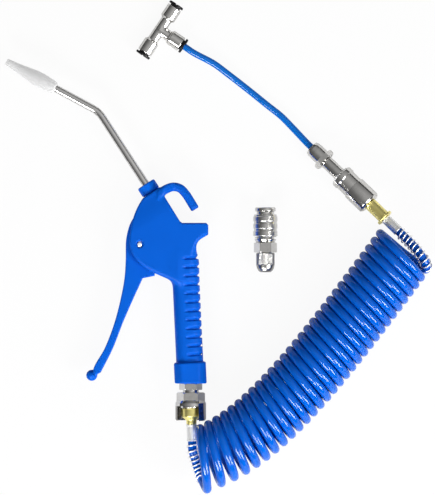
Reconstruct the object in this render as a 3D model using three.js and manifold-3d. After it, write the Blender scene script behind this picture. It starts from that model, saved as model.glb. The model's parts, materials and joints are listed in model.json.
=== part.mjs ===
// A coiled air hose set laid out flat on a table: a blow gun with a bent nozzle, a coiled
// polyurethane hose between two couplers, a short straight tube to a push-in tee, and a spare
// coupler that lies beside them. X runs right along the table, Y runs away from the viewer and
// Z is up. Places on the table are measured from the middle of the layout.
import * as THREE from "three";
import { mergeVertices } from "three/addons/utils/BufferGeometryUtils.js";
import Module from "manifold-3d";

const wasm = await Module();
wasm.setup();

// ---- Driving dimensions, in millimetres and degrees ----

const FIT = 0.3; // clearance between pieces that seat on each other
const ROUND = 16; // sides of a turned piece
const SMALL_ROUND = 12; // sides of a small turned piece
const OVERCUT = 2; // how far a cutter runs past the face that it opens
const WELD = 1e-4; // corners nearer than this are one
const CURVE_STEPS = 6; // points on each curve of an outline

// Hose, tube and the wire guards on the hose
const HOSE_DIAMETER = 7.8; // of a nominal 8 mm hose, so that its turns lie side by side
const COIL_RADIUS = 26.5; // from the coil's axis to the middle of the hose
const COIL_TURNS = 29.75;
const COIL_FIRST_TURN = 1 / 12; // where the tail from the gun has joined the coil
const COIL_STEPS = 12; // sections in one turn
const AXIS_STEPS = 8; // steps along the coil's axis from one section to the next
const COIL_PITCH = 8.285; // between turns on the inner side of the bend
const COIL_START = [-14.8, -190.4]; // axis of the coil on the table at its first turn
const COIL_HEADING_START = 17; // direction of the axis there
const COIL_HEADING_END = 54; // direction it settles to
const COIL_BEND_LENGTH = 60; // length in which most of that bend is made
const COIL_LEAN = 6.5; // how far the turns lean back from square to the axis
const HOSE_SIDES = 6;
const TUBE_SIDES = 8;
const TUBE_DIAMETER = 6;
const GUARD_WIRE = 1;
const GUARD_PITCH = 4.5;
const GUN_GUARD_LENGTH = 37;
const SUPPLY_GUARD_LENGTH = 43;
const GUARDED_POINTS = 14; // of the hose's route, more than the longer guard covers
const WIRE_SIDES = 5;
const CURL_STEPS = 8; // sections in one turn of a spring

// Tail of the hose from the gun's ferrule to the coil
const GUN_TAIL = [
  [-20.6, -189.9, 13.4],
  [-18.3, -198, 12.4],
  [-15.6, -205.8, 14.2],
  [-12.9, -211.9, 18.8],
  [-10.9, -215.9, 24.9],
  [-9.6, -217.4, 31.4],
  [-9.1, -216.3, 37.8],
];

// Tail from the coil to the supply's ferrule, from the end of the coil's axis
const SUPPLY_TAIL = [
  [7.54, -5.72, 4.8],
  [13.64, -10.92, 8],
  [18.34, -14.72, 14],
  [20.64, -15.92, 21],
  [20.94, -13.72, 28],
  [19.44, -9.32, 32.6],
  [16.54, -4.12, 34.4],
  [12.44, 1.38, 33.2],
  [7.94, 6.58, 30.7],
];

// Blow gun, drawn from the middle of its trigger pin
const GUN_AT = [-70, 2.4];
const GUN_HEIGHT = 15; // of its middle plane above the table
const HEAD_THICKNESS = 28;
const HEAD_EDGE = 2.5; // rounding of the head's edges
const SEAT_HALF_WIDTH = 8.7; // of the face that the nozzle nut seats on
const SEAT_AT = [10.45, 46.5];
const NOZZLE_HEADING = 123;
const GRIP_WIDTH = 24.4;
const GRIP_THICKNESS = 24;
const GRIP_LENGTH = 112; // from the collar's end face up into the head
const GRIP_SQUARENESS = 2.7;
const GRIP_SIDES = 16;
const GRIP_HEADING = 92.65;
const RIB_COUNT = 12;
const RIB_PITCH = 7.9;
const RIB_GROOVE = 2;
const RIB_DEPTH = 1.3;
const RIB_FIRST = 25.3; // height of the lowest groove over the end face
const RIB_REACH = 14; // how far the grooves come round from the back
const COLLAR_WIDTH = 28.8;
const COLLAR_THICKNESS = 30;
const COLLAR_CHAMFER = 6;
const COLLAR_LENGTH = 19;
const COLLAR_AT = [45.9, -125.2]; // middle of its end face
const HOOK_WIDTH = 7.8;
const HOOK_THICKNESS = 10;
const SLOT_OPEN = -30; // how far past the head's front the slot's cutter runs
const HOOK_PATH = [
  [12.5, 40.5],
  [17.5, 45.2],
  [23.4, 49.5],
  [30.4, 51.8],
  [36.6, 50.2],
  [41.6, 45],
  [45.9, 38.3],
  [49.8, 31.9],
];

// Trigger lever and its pin
const PIN_RADIUS = 2.2;
const PIN_RECESS_RADIUS = 3.2;
const PIN_RECESS_DEPTH = 1.2;
const PIN_DOME = 0.6;
const LEVER_THICKNESS = 15.4;
const LEVER_EDGE = 1.4;
const LEVER_SIDE_GAP = 0.6;
const LEVER_BALL_RADIUS = 5;
const LEVER_BALL_AT = [-43.3, -118];
const LEVER_FRONT = [
  [-4.8, 25.2],
  [-8.8, 18],
  [-12.2, 4.5],
  [-12.6, -14],
  [-13.6, -29.5],
  [-17, -48.5],
  [-23.2, -72],
  [-31.5, -93.5],
  [-41.6, -112],
  [-41, -118.4],
];
const LEVER_BACK = [
  [-35.2, -115.4],
  [-24.5, -94.2],
  [-15.2, -70.4],
  [-6, -49.3],
  [2.6, -30.6],
];

// Valve in the gun, along an axis square to the lever's arm
const VALVE_ARM = 18; // from the trigger pin to the valve's axis
const VALVE_HEADING = 36.3;
const VALVE_BORE_RADIUS = 5;
const VALVE_BORE_DEPTH = 43.2; // from the lever's pad to the blind end
const SLOT_WALL = 6.2; // from the lever's pad to the wall of the slot behind it
const STEM_RADIUS = 2;
const GLAND_LENGTH = 8.4;
const GLAND_BORE = 2.35;
const STEM_SEAL_LENGTH = 2;
const SEAT_RING_AT = 22;
const SEAT_RING_LENGTH = 2.5;
const SEAT_RING_BORE = 2.9;
const WASHER_LENGTH = 1.6;
const POPPET_RADIUS = 4.2;
const POPPET_LENGTH = 3;
const VALVE_SPRING_RADIUS = 3.4;
const VALVE_WIRE = 0.9;
const VALVE_SPRING_TURNS = 5;
const INLET_RADIUS = 3.5;
const OUTLET_RADIUS = 2.6;

// Nozzle
const NUT_RADIUS = 8.7;
const NUT_LENGTH = 9.4;
const NUT_CHAMFER = 0.9;
const NUT_SPIGOT_RADIUS = 5.2;
const NUT_SPIGOT_LENGTH = 7;
const NOZZLE_RADIUS = 3.45;
const NOZZLE_BORE = 2.3;
const NOZZLE_FIRST_RUN = 87; // from the seat to the bend
const NOZZLE_SECOND_RUN = 44.6; // from the bend to the tip
const NOZZLE_BEND = 28.6;
const NOZZLE_BEND_RADIUS = 24;
const NOZZLE_SIDES = 12;
const NOZZLE_BEND_STEPS = 4;
const NOZZLE_LEAD = 3; // straight section next to the bend
const TIP_LENGTH = 50.2;
const TIP_REAR_RADIUS = 5;
const TIP_SHOULDER_RADIUS = 5.9;
const TIP_SHOULDER_AT = 4;
const TIP_FULL_RADIUS = 6.7;
const TIP_FULL_AT = 14;
const TIP_CHEEK_RADIUS = 6.5;
const TIP_CHEEK_AT = 21;
const TIP_TAPER_RADIUS = 4.2;
const TIP_TAPER_SHARE = 0.74; // of its length, where the taper slows
const TIP_FRONT_RADIUS = 3.1;
const TIP_BORE = 1.5;
const TIP_SOCKET_DEPTH = 12;

// Coupler under the gun, down from the collar's end face
const NIPPLE_HEX = 18; // across flats
const NIPPLE_HEX_LENGTH = 5.6;
const NIPPLE_HEX_CHAMFER = 0.6;
const NIPPLE_SPIGOT_RADIUS = 5.2;
const NIPPLE_SPIGOT_LENGTH = 13;
const NIPPLE_NECK_LENGTH = 2.4;
const NIPPLE_NECK_RADIUS = 7.1;
const AIRWAY_RADIUS = 2.6;
const GUN_CORE_RADIUS = 7.2;
const GUN_CORE_SHOULDER_RADIUS = 10;
const GUN_CORE_LENGTH = 13.4;
const GUN_SPRING_SPACE = 6.8;
const GUN_SHOULDER_GAP = 2; // from the spring's space to the shoulder it pushes on
const GUN_SLEEVE_HEX = 22.2;
const GUN_SLEEVE_HEX_LENGTH = 9.4;
const GUN_SLEEVE_HEX_CHAMFER = 1;
const GUN_SLEEVE_FLANGE = 1.6; // thickness of its end round the core
const GUN_SLEEVE_SLOPE = 2.4; // length of the slope from the hexagon to the skirt
const GUN_SLEEVE_STEP = 1.6; // height of that slope
const GUN_SLEEVE_END_SLOPE = 1.4;
const GUN_SLEEVE_END_STEP = 1.2;
const GUN_SLEEVE_RADIUS = 13.8;
const GUN_SLEEVE_LENGTH = 25.4;
const GUN_SLEEVE_WALL = 1.7;
const WINDOW_AT = 12; // from the sleeve's end to its window
const WINDOW_SIDE = 7.2; // how far past the axis the window reaches
const WINDOW_TOP = -1; // its lower edge, beside the sleeve's middle plane
const GUN_PLUG_TILT = 2.2; // lean of the hose tail in its coupler
const PLUG_NOSE_RADIUS = 5;
const PLUG_NOSE_LENGTH = 3.6;
const PLUG_CHAMFER = 0.8;
const BOWL_RADIUS = 8.25;
const BOWL_LENGTH = 7.4;
const BOWL_CONE_LENGTH = 3.4;
const TAIL_NECK_RADIUS = 4.6;
const TAIL_NECK_LENGTH = 3.3;
const BARB_RADIUS = 2.6;
const BARB_LENGTH = 14;
const BARB_BORE = 1.6;
const FERRULE_RADIUS = 4.7;
const FERRULE_LENGTH = 15;
const SEAL_LENGTH = 1.2;

// Coupler at the supply end, along its axis from the end of its ferrule
const SUPPLY_AT = [-4.16, 18.68, 26.5]; // hose end of the ferrule, from the coil's end
const SUPPLY_HEADING = 135.8;
const SUPPLY_FALL = 10; // slope of the stiff fittings down to the table
const SUPPLY_FERRULE_LENGTH = 16.1;
const FLANGE_RADIUS = 7.8;
const FLANGE_LENGTH = 2;
const BRASS_RADIUS = 5.85;
const BRASS_LENGTH = 17.2;
const BRASS_SPIGOT_RADIUS = 4.6;
const BRASS_SPIGOT_LENGTH = 6;
const SHELL_RADIUS = 11.25;
const SHELL_WALL = 0.7;
const SHELL_LENGTH = 20.6;
const SHELL_FLOOR = 5;
const SHELL_BEVEL = 1.6;
const BARREL_RADIUS = 8;
const BARREL_LENGTH = 38.2;
const SOCKET_RADIUS = 6.3;
const SOCKET_DEPTH = 21;
const SLEEVE_SKIRT_AT = 13.8; // from the coupler's rear face
const SLEEVE_LIP_AT = 31.6;
const SLEEVE_LIP_RADIUS = 11;
const SLEEVE_LIP_LENGTH = 5.2;
const SLEEVE_LIP_SLOPE = 0.6;
const SLEEVE_LIP_CHAMFER = 0.8;
const SLEEVE_MOUTH_STEP = 1; // recess round the clip
const COUPLER_WIRE = 0.8;
const COUPLER_SPRING_TURNS = 3;
const CLIP_WIDTH = 0.8;
const CLIP_HEIGHT = 0.8;
const CLIP_INSET = 0.4; // from the barrel's end
const POPPET_NOSE_RADIUS = 3.4;
const CHECK_POPPET_LENGTH = 5;
const CHECK_SPRING_LENGTH = 5.5;
const CHECK_SPRING_TURNS = 3;
const PLUG_SHAFT_RADIUS = 5.95;
const PLUG_SHAFT_LENGTH = 36.4;
const PLUG_SHAFT_CHAMFER = 1;
const PLUG_THREAD_RADIUS = 5.2;
const PLUG_THREAD_LENGTH = 8;
const COMPRESSION_HEX = 18;
const COMPRESSION_HEX_LENGTH = 4.6;
const COMPRESSION_HEX_CHAMFER = 0.8;
const DOME_RADIUS = 7.5;
const DOME_END_RADIUS = 6.3;
const DOME_LENGTH = 13.4;
const DOME_SHOULDER = 6; // from its end to where it starts to close
const DOME_BROW = 2.4; // from its end to its steeper part
const DOME_BROW_RADIUS = 7.2;
const OLIVE_LENGTH = 2.6;
const OLIVE_RADIUS = 4.6;
const OLIVE_SLOPE = 0.8;
const TUBE_INSERTION = 9; // how far the tube goes into the nut
const TUBE_PLAY = 0.45; // round the tube in the nut
const TUBE_LEAD = 1; // straight section inside each mouth

// Straight tube, from the compression nut to the tee, from the coil's end
const TUBE_PATH = [
  [-97.76, 110.88, 4.1],
  [-109.16, 122.48, 3.4],
  [-121.86, 132.58, 3.2],
  [-133.86, 142.28, 3.2],
  [-145.96, 151.88, 3.5],
  [-157.96, 161.08, 4.2],
  [-170.06, 169.98, 5.2],
];

// Push-in tee
const TEE_AT = [-218.86, 200.28, 7.2]; // from the coil's end
const TEE_HEADING = 56;
const TEE_HALF_LENGTH = 24.4; // from the middle to the end of each barrel of the run
const TEE_BRANCH_LENGTH = 23.4;
const TEE_BARREL_RADIUS = 6.9;
const TEE_BARREL_LENGTH = 12.8;
const TEE_WAIST_RADIUS = 4.9;
const TEE_SHOULDER = 1.4;
const TEE_EDGE = 0.6;
const TEE_SOCKET_RADIUS = 5.4;
const TEE_SOCKET_DEPTH = 12;
const COLLET_RADIUS = 4.9;
const COLLET_BORE = 3.45;
const COLLET_LENGTH = 7.5; // inside the barrel
const COLLET_RIM_RADIUS = 6.8;
const COLLET_RIM = 1.5;
const COLLET_TRAVEL = 1.2;
const COLLET_NOTCH = 2.4;
const COLLET_NOTCH_DEPTH = 0.9;
const COLLET_EDGE = 0.4;
const TUBE_SEAL_LENGTH = 2;

// Spare coupler, down from its mouth
const SPARE_AT = [43.2, 35.8, 11];
const SPARE_LIP_RADIUS = 9.2;
const SPARE_LIP_LENGTH = 4;
const SPARE_CHAMFER = 0.8;
const SPARE_SMALL_CHAMFER = 0.6;
const SPARE_NECK_RADIUS = 7.9;
const SPARE_BARREL_LENGTH = 28.2; // from the mouth to the ring behind the sleeve
const SPARE_SLEEVE_AT = 6.4;
const SPARE_SLEEVE_LENGTH = 22;
const SPARE_SLEEVE_RADIUS = 10.8;
const SPARE_SLEEVE_WALL = 0.8;
const SPARE_SLEEVE_BANDS = 3;
const SPARE_BAND_PITCH = 6.6;
const SPARE_BAND_WIDTH = 4.4;
const SPARE_BAND_GROOVE = 0.5;
const SPARE_BAND_EDGE = 0.4;
const SPARE_FIRST_BAND = 1.6; // from the sleeve's end
const SPARE_SPRING_SPACE = 9;
const SPARE_SLEEVE_TRAVEL = 2;
const SPARE_RING_RADIUS = 8.9;
const SPARE_RING_LENGTH = 3.6;
const SPARE_HEX = 18;
const SPARE_HEX_LENGTH = 9;
const SPARE_HEX_CHAMFER = 0.9;
const SPARE_SOCKET_RADIUS = 5.4;
const SPARE_SOCKET_DEPTH = 15;
const SPARE_POPPET_RADIUS = 3.6;
const SPARE_POPPET_LENGTH = 6;
const SPARE_POPPET_NOSE = 1;
const SPARE_CHAMBER_LENGTH = 6; // behind the poppet
const SPARE_SPIGOT_RADIUS = 5.6;
const SPARE_SPIGOT_LENGTH = 6;
const SPARE_BARB_RADIUS = 2.6;
const SPARE_BARB_LENGTH = 16;
const SPARE_NUT_RADIUS = 8.35;
const SPARE_NUT_LENGTH = 17.4;
const SPARE_NUT_BORE = 4.3;
const SPARE_NUT_DOME = [
  [8.35, 6.6],
  [7.65, 3.6],
  [6.25, 1.2],
  [4.75, 0],
]; // radius against the distance from its end

// ---- Materials ----

const material = (color, roughness, metalness) =>
  new THREE.MeshStandardMaterial({ color, roughness, metalness, flatShading: true });
const BLUE_MOULDING = material(0x0a62de, 0.42, 0);
const HOSE_PLASTIC = material(0x0a56cf, 0.2, 0);
const WHITE_PLASTIC = material(0xf0f2f2, 0.4, 0);
const BLACK_PLASTIC = material(0x161616, 0.45, 0);
const RUBBER = material(0x1b1b1c, 0.7, 0);
const NICKEL = material(0xc4c4c2, 0.25, 1);
const STEEL = material(0xb4b4b0, 0.35, 1);
const BRASS = material(0xd0b040, 0.3, 1);

// ---- Solids ----

// A closed geometry as a solid, with repeated corners merged and faces turned outwards.
function solid(geometry) {
  const bare = geometry.index ? geometry.toNonIndexed() : geometry.clone();
  bare.deleteAttribute("normal");
  bare.deleteAttribute("uv");
  const merged = mergeVertices(bare, WELD);
  const corners = merged.index.array;
  const faces = [];
  for (let i = 0; i < corners.length; i += 3) {
    const [a, b, c] = corners.slice(i, i + 3);
    if (a !== b && b !== c && c !== a) faces.push([a, b, c]);
  }
  const body = (turned) =>
    new wasm.Manifold(
      new wasm.Mesh({
        numProp: 3,
        vertProperties: merged.attributes.position.array,
        triVerts: new Uint32Array(turned.flat()),
      }),
    );
  const made = body(faces);
  return made.volume() > 0 ? made : body(faces.map(([a, b, c]) => [a, c, b]));
}

const join = (first, ...others) => others.reduce((sum, other) => sum.add(other), first);
const cut = (first, ...cutters) =>
  cutters.reduce((left, cutter) => left.subtract(cutter), first);

// A named mesh of a solid.
function piece(name, body, finish) {
  const { numProp, vertProperties, triVerts } = body.getMesh();
  const geometry = new THREE.BufferGeometry();
  geometry.setAttribute("position", new THREE.BufferAttribute(vertProperties, numProp));
  geometry.setIndex(new THREE.BufferAttribute(triVerts, 1));
  geometry.computeVertexNormals();
  const mesh = new THREE.Mesh(geometry, finish);
  mesh.name = name;
  return mesh;
}

const radians = THREE.MathUtils.degToRad;

// A unit step at a heading in the plane of the table.
const stepAt = (heading) => [Math.cos(radians(heading)), Math.sin(radians(heading))];

// A frame whose Z runs along a heading, sloping down by a fall, whose X lies level to the right
// of it and whose Y points down, so that a flat of a hexagon faces up.
function along([x, y, z = 0], heading, fall = 0) {
  const [east, north] = stepAt(heading);
  const level = Math.cos(radians(fall));
  const forward = new THREE.Vector3(east * level, north * level, -Math.sin(radians(fall)));
  const side = new THREE.Vector3(north, -east, 0);
  const down = new THREE.Vector3().crossVectors(forward, side);
  return new THREE.Matrix4().makeBasis(side, down, forward).setPosition(x, y, z);
}

// A group that carries its pieces in a frame.
function groupIn(frame, ...members) {
  const group = new THREE.Group();
  group.applyMatrix4(frame);
  if (members.length) group.add(...members);
  return group;
}

const turnedGeometry = (profile, sides) =>
  new THREE.LatheGeometry(
    profile.map(([r, z]) => new THREE.Vector2(r, z)),
    sides,
  ).rotateX(Math.PI / 2);

// A turned solid about Z: radius against height, closed at its start.
const turned = (profile, sides = ROUND) =>
  solid(turnedGeometry([...profile, profile[0]], sides));

// A plain disc or shaft about Z, and one with a bore.
const shaft = (radius, from, to, sides = ROUND) =>
  solid(turnedGeometry([[0, from], [radius, from], [radius, to], [0, to]], sides));
const sleeve = (bore, radius, from, to, sides = ROUND) =>
  turned([[bore, from], [radius, from], [radius, to], [bore, to]], sides);

const shapeOf = (points) => new THREE.Shape(points.map(([x, y]) => new THREE.Vector2(x, y)));

// A flat outline made thick about its middle plane, its edges rounded within the outline.
function slab(shape, thickness, edge = 0, segments = 2) {
  return new THREE.ExtrudeGeometry(shape, {
    depth: thickness - 2 * edge,
    bevelEnabled: edge > 0,
    bevelThickness: edge,
    bevelSize: edge,
    bevelOffset: -edge,
    bevelSegments: segments,
    curveSegments: CURVE_STEPS,
  }).translate(0, 0, edge - thickness / 2);
}

// A prism of an outline along Z.
const prism = (points, from, to) =>
  new THREE.ExtrudeGeometry(shapeOf(points), { depth: to - from, bevelEnabled: false })
    .translate(0, 0, from);

// The corners of a regular polygon with a corner on X.
const polygon = (radius, sides) =>
  Array.from({ length: sides }, (_, i) => {
    const angle = (2 * Math.PI * i) / sides;
    return [radius * Math.cos(angle), radius * Math.sin(angle)];
  });

// A hexagonal bar whose corners are taken off at both ends.
function hexBar(flats, from, to, chamfer) {
  const corner = flats / Math.sqrt(3);
  const round = turned([[0, from], [corner - chamfer, from], [corner + FIT, from + chamfer],
    [corner + FIT, to - chamfer], [corner - chamfer, to], [0, to]], 2 * SMALL_ROUND);
  return solid(prism(polygon(corner, 6), from, to)).intersect(round);
}

// A route through points, whose sections stand at the points themselves.
class Route extends THREE.CatmullRomCurve3 {
  constructor(points) {
    super(points.map((p) => (p.isVector3 ? p : new THREE.Vector3(...p))));
  }
  getUtoTmapping(u) {
    return u;
  }
}

// A tube along a route.
const tube = (points, radius, sides) =>
  new THREE.ExtrudeGeometry(shapeOf(polygon(radius, sides)), {
    steps: points.length - 1,
    extrudePath: new Route(points),
  });

// The least distance between stretches of a wound route that lie over half a turn apart.
function leastSpacing(points, apart) {
  let least = Infinity;
  for (let i = 0; i < points.length; i++)
    for (let j = i + apart; j < points.length; j++)
      least = Math.min(least, points[i].distanceTo(points[j]));
  return least;
}

// Points finer than the sections of a wound route, for measuring its gap to itself.
const FINER = 3;
const APART = 0.6; // of a turn, between stretches that count as neighbours
function reportGap(name, points, stepsInTurn, diameter) {
  const fine = new THREE.CatmullRomCurve3(points).getPoints((points.length - 1) * FINER);
  const gap = leastSpacing(fine, Math.round(APART * stepsInTurn * FINER)) - diameter;
  console.log(`${name}: least gap to itself ${gap.toFixed(2)} mm`);
}

// A spring about Z that fills the space from one height to another.
function spring(name, radius, wire, from, to, turns) {
  const steps = Math.round(turns * CURL_STEPS);
  const start = from + wire / 2 + FIT;
  const rise = (to - from - wire - 2 * FIT) / steps;
  const points = Array.from({ length: steps + 1 }, (_, i) => {
    const angle = (2 * Math.PI * i) / CURL_STEPS;
    return new THREE.Vector3(radius * Math.cos(angle), radius * Math.sin(angle), start + rise * i);
  });
  reportGap(name, points, CURL_STEPS, wire);
  return piece(name, solid(tube(points, wire / 2, WIRE_SIDES)), STEEL);
}

// A wire guard wound round the first stretch of a hose.
function guardOn(name, hosePoints, length) {
  const curve = new THREE.CatmullRomCurve3(hosePoints);
  const whole = curve.getLength();
  const steps = Math.round((length / GUARD_PITCH) * CURL_STEPS);
  const start = FIT + GUARD_WIRE;
  const centres = Array.from({ length: steps + 1 }, (_, i) =>
    curve.getPointAt((start + (i * length) / steps) / whole),
  );
  const { normals, binormals } = new Route(centres).computeFrenetFrames(steps, false);
  const radius = HOSE_DIAMETER / 2 + 2 * FIT + GUARD_WIRE / 2;
  const points = centres.map((centre, i) => {
    const angle = (2 * Math.PI * i) / CURL_STEPS;
    return centre
      .clone()
      .addScaledVector(normals[i], radius * Math.cos(angle))
      .addScaledVector(binormals[i], radius * Math.sin(angle));
  });
  reportGap(name, points, CURL_STEPS, GUARD_WIRE);
  return piece(name, solid(tube(points, GUARD_WIRE / 2, WIRE_SIDES)), STEEL);
}

// ---- Blow gun ----

const valveAxisPoint = () => {
  const [east, north] = stepAt(VALVE_HEADING - 90);
  return [VALVE_ARM * east, VALVE_ARM * north];
};
const VALVE_AT = valveAxisPoint();
const valveFrame = along(VALVE_AT, VALVE_HEADING);
const seatFrame = along(SEAT_AT, NOZZLE_HEADING);
const gripFrame = along(COLLAR_AT, GRIP_HEADING);
const gunCouplerFrame = along(COLLAR_AT, -90);

// A point of the valve's axis, and one beside it, in the gun's plane.
function byValve(height, side = 0) {
  const [x, y] = new THREE.Vector3(side, 0, height).applyMatrix4(valveFrame).toArray();
  return [x, y];
}

// The head: cheeks round the trigger, the seat of the nozzle, the back slope and the heel over
// the hand.
function headOutline() {
  const corner = (side) => new THREE.Vector3(side, 0, 0).applyMatrix4(seatFrame);
  const left = corner(-SEAT_HALF_WIDTH);
  const right = corner(SEAT_HALF_WIDTH);
  const head = new THREE.Shape();
  head.moveTo(left.x, left.y);
  head.bezierCurveTo(-3, 27, -9.6, 14, -9.2, 0.9);
  head.bezierCurveTo(-8.8, -12, 3, -21.5, 11.2, -25.1);
  head.lineTo(24, -30.6);
  head.lineTo(33, -33);
  head.lineTo(50.6, -14);
  head.lineTo(50.9, -3);
  head.bezierCurveTo(51.2, 4.5, 57, 5.4, 61.7, 8.8);
  head.lineTo(61.7, 17.4);
  head.lineTo(59.8, 19.3);
  head.lineTo(38.2, 19.3);
  head.lineTo(36, 21);
  head.lineTo(right.x + 2, right.y - 4);
  head.lineTo(right.x, right.y);
  return head;
}

// The grip's section: an oval between a rectangle and an ellipse.
function gripSection(inset) {
  return Array.from({ length: GRIP_SIDES }, (_, i) => {
    const angle = (2 * Math.PI * (i + 0.5)) / GRIP_SIDES;
    const [c, s] = [Math.cos(angle), Math.sin(angle)];
    const bulge = (v) => Math.sign(v) * Math.abs(v) ** (2 / GRIP_SQUARENESS);
    return [(GRIP_WIDTH / 2 - inset) * bulge(c), (GRIP_THICKNESS / 2 - inset) * bulge(s)];
  });
}

// The slot between the cheeks, with room for the lever from rest to full travel.
function slotOutline() {
  return [
    [SLOT_OPEN, 26.4],
    [-3.2, 26.4],
    [-0.4, 12.6],
    [6.6, 6.4],
    [9.8, -1.5],
    byValve(SLOT_WALL, -4.6),
    byValve(SLOT_WALL, 8.4),
    [23.4, -25],
    [20, -42],
    [SLOT_OPEN, -42],
  ];
}

function gripGrooves() {
  const back = GRIP_WIDTH / 2 + OVERCUT;
  const half = GRIP_THICKNESS / 2 + OVERCUT;
  const front = GRIP_WIDTH / 2 - RIB_REACH;
  const band = [[front, -half], [back, -half], [back, half], [front, half]];
  const bands = Array.from({ length: RIB_COUNT }, (_, i) => {
    const low = RIB_FIRST + i * RIB_PITCH;
    return solid(prism(band, low, low + RIB_GROOVE).applyMatrix4(gripFrame));
  });
  const inner = prism(gripSection(RIB_DEPTH), 0, GRIP_LENGTH + OVERCUT);
  const core = solid(inner.applyMatrix4(gripFrame));
  return join(...bands).subtract(core);
}

function collarSection() {
  const [w, t, c] = [COLLAR_WIDTH / 2, COLLAR_THICKNESS / 2, COLLAR_CHAMFER];
  return [[w, c - t], [w, t - c], [w - c, t], [c - w, t],
    [-w, t - c], [-w, c - t], [c - w, -t], [w - c, -t]];
}

function hook() {
  const points = HOOK_PATH.map(([x, y]) => [x, y, 0]);
  const [w, t] = [HOOK_WIDTH / 2, HOOK_THICKNESS / 2];
  const section = shapeOf([[t, -w / 2], [t, w / 2], [t / 2, w], [-t / 2, w], [-t, w / 2],
    [-t, -w / 2], [-t / 2, -w], [t / 2, -w]]);
  const settings = { steps: points.length - 1, extrudePath: new Route(points) };
  return solid(new THREE.ExtrudeGeometry(section, settings));
}

// The passage from the valve to the nozzle.
function outletPassage() {
  const chamberFrom = SLOT_WALL + GLAND_LENGTH + STEM_SEAL_LENGTH + 2 * FIT;
  const [x, y] = byValve((chamberFrom + SEAT_RING_AT) / 2);
  const [dx, dy] = [x - SEAT_AT[0], y - SEAT_AT[1]];
  const heading = THREE.MathUtils.radToDeg(Math.atan2(dy, dx));
  return boreIn(along(SEAT_AT, heading), OUTLET_RADIUS, -FIT, Math.hypot(dx, dy), SMALL_ROUND);
}

function boreIn(frame, radius, from, to, sides = ROUND) {
  const profile = [[0, from], [radius, from], [radius, to], [0, to]];
  return solid(turnedGeometry(profile, sides).applyMatrix4(frame));
}

function gunHousing() {
  const half = HEAD_THICKNESS / 2;
  const gunAxis = new THREE.Matrix4();
  const pinHole = PIN_RADIUS + FIT;
  const body = join(
    solid(slab(headOutline(), HEAD_THICKNESS, HEAD_EDGE)),
    solid(prism(gripSection(0), COLLAR_LENGTH - OVERCUT, GRIP_LENGTH).applyMatrix4(gripFrame)),
    solid(prism(collarSection(), -OVERCUT, COLLAR_LENGTH).applyMatrix4(gripFrame)),
    hook(),
  );
  return cut(
    body,
    gripGrooves(),
    solid(slab(shapeOf(slotOutline()), LEVER_THICKNESS + 2 * LEVER_SIDE_GAP)),
    boreIn(gunAxis, pinHole, -half - OVERCUT, half + OVERCUT, SMALL_ROUND),
    boreIn(gunAxis, PIN_RECESS_RADIUS, half - PIN_RECESS_DEPTH, half + OVERCUT, SMALL_ROUND),
    boreIn(gunAxis, PIN_RECESS_RADIUS, -half - OVERCUT, PIN_RECESS_DEPTH - half, SMALL_ROUND),
    boreIn(valveFrame, VALVE_BORE_RADIUS, SLOT_WALL - OVERCUT, VALVE_BORE_DEPTH, SMALL_ROUND),
    boreIn(seatFrame, NUT_SPIGOT_RADIUS + FIT, -NUT_SPIGOT_LENGTH - 2 * SEAL_LENGTH, OVERCUT),
    outletPassage(),
    boreIn(gripFrame, INLET_RADIUS, 0, inletHeight(), SMALL_ROUND),
    boreIn(gunCouplerFrame, NIPPLE_SPIGOT_RADIUS + FIT, -NIPPLE_SPIGOT_LENGTH - FIT, OVERCUT),
    boreIn(gunCouplerFrame, COLLAR_WIDTH, 0, 2 * OVERCUT),
  );
}

// How far up the grip's axis the valve's axis crosses it.
function inletHeight() {
  const [gx, gy] = stepAt(GRIP_HEADING);
  const [vx, vy] = stepAt(VALVE_HEADING);
  const [dx, dy] = [VALVE_AT[0] - COLLAR_AT[0], VALVE_AT[1] - COLLAR_AT[1]];
  return (dx * vy - dy * vx) / (gx * vy - gy * vx);
}

function triggerLever() {
  const outline = [
    ...LEVER_FRONT,
    ...LEVER_BACK,
    [13.4, -28.4],
    byValve(0, 4.4),
    byValve(0, -4),
    [6.4, 4],
    [-1.4, 11.6],
  ];
  const sphere = new THREE.SphereGeometry(LEVER_BALL_RADIUS, SMALL_ROUND, SMALL_ROUND / 2);
  const ball = solid(sphere.translate(...LEVER_BALL_AT, 0));
  return cut(
    join(solid(slab(shapeOf(outline), LEVER_THICKNESS, LEVER_EDGE, 1)), ball),
    boreIn(new THREE.Matrix4(), PIN_RADIUS + FIT, -LEVER_THICKNESS, LEVER_THICKNESS, SMALL_ROUND),
  );
}

function triggerPin() {
  const half = HEAD_THICKNESS / 2 - FIT;
  const face = PIN_RADIUS - PIN_DOME;
  return turned([[0, -half], [face, -half], [PIN_RADIUS, PIN_DOME - half],
    [PIN_RADIUS, half - PIN_DOME], [face, half], [0, half]], SMALL_ROUND);
}

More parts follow.
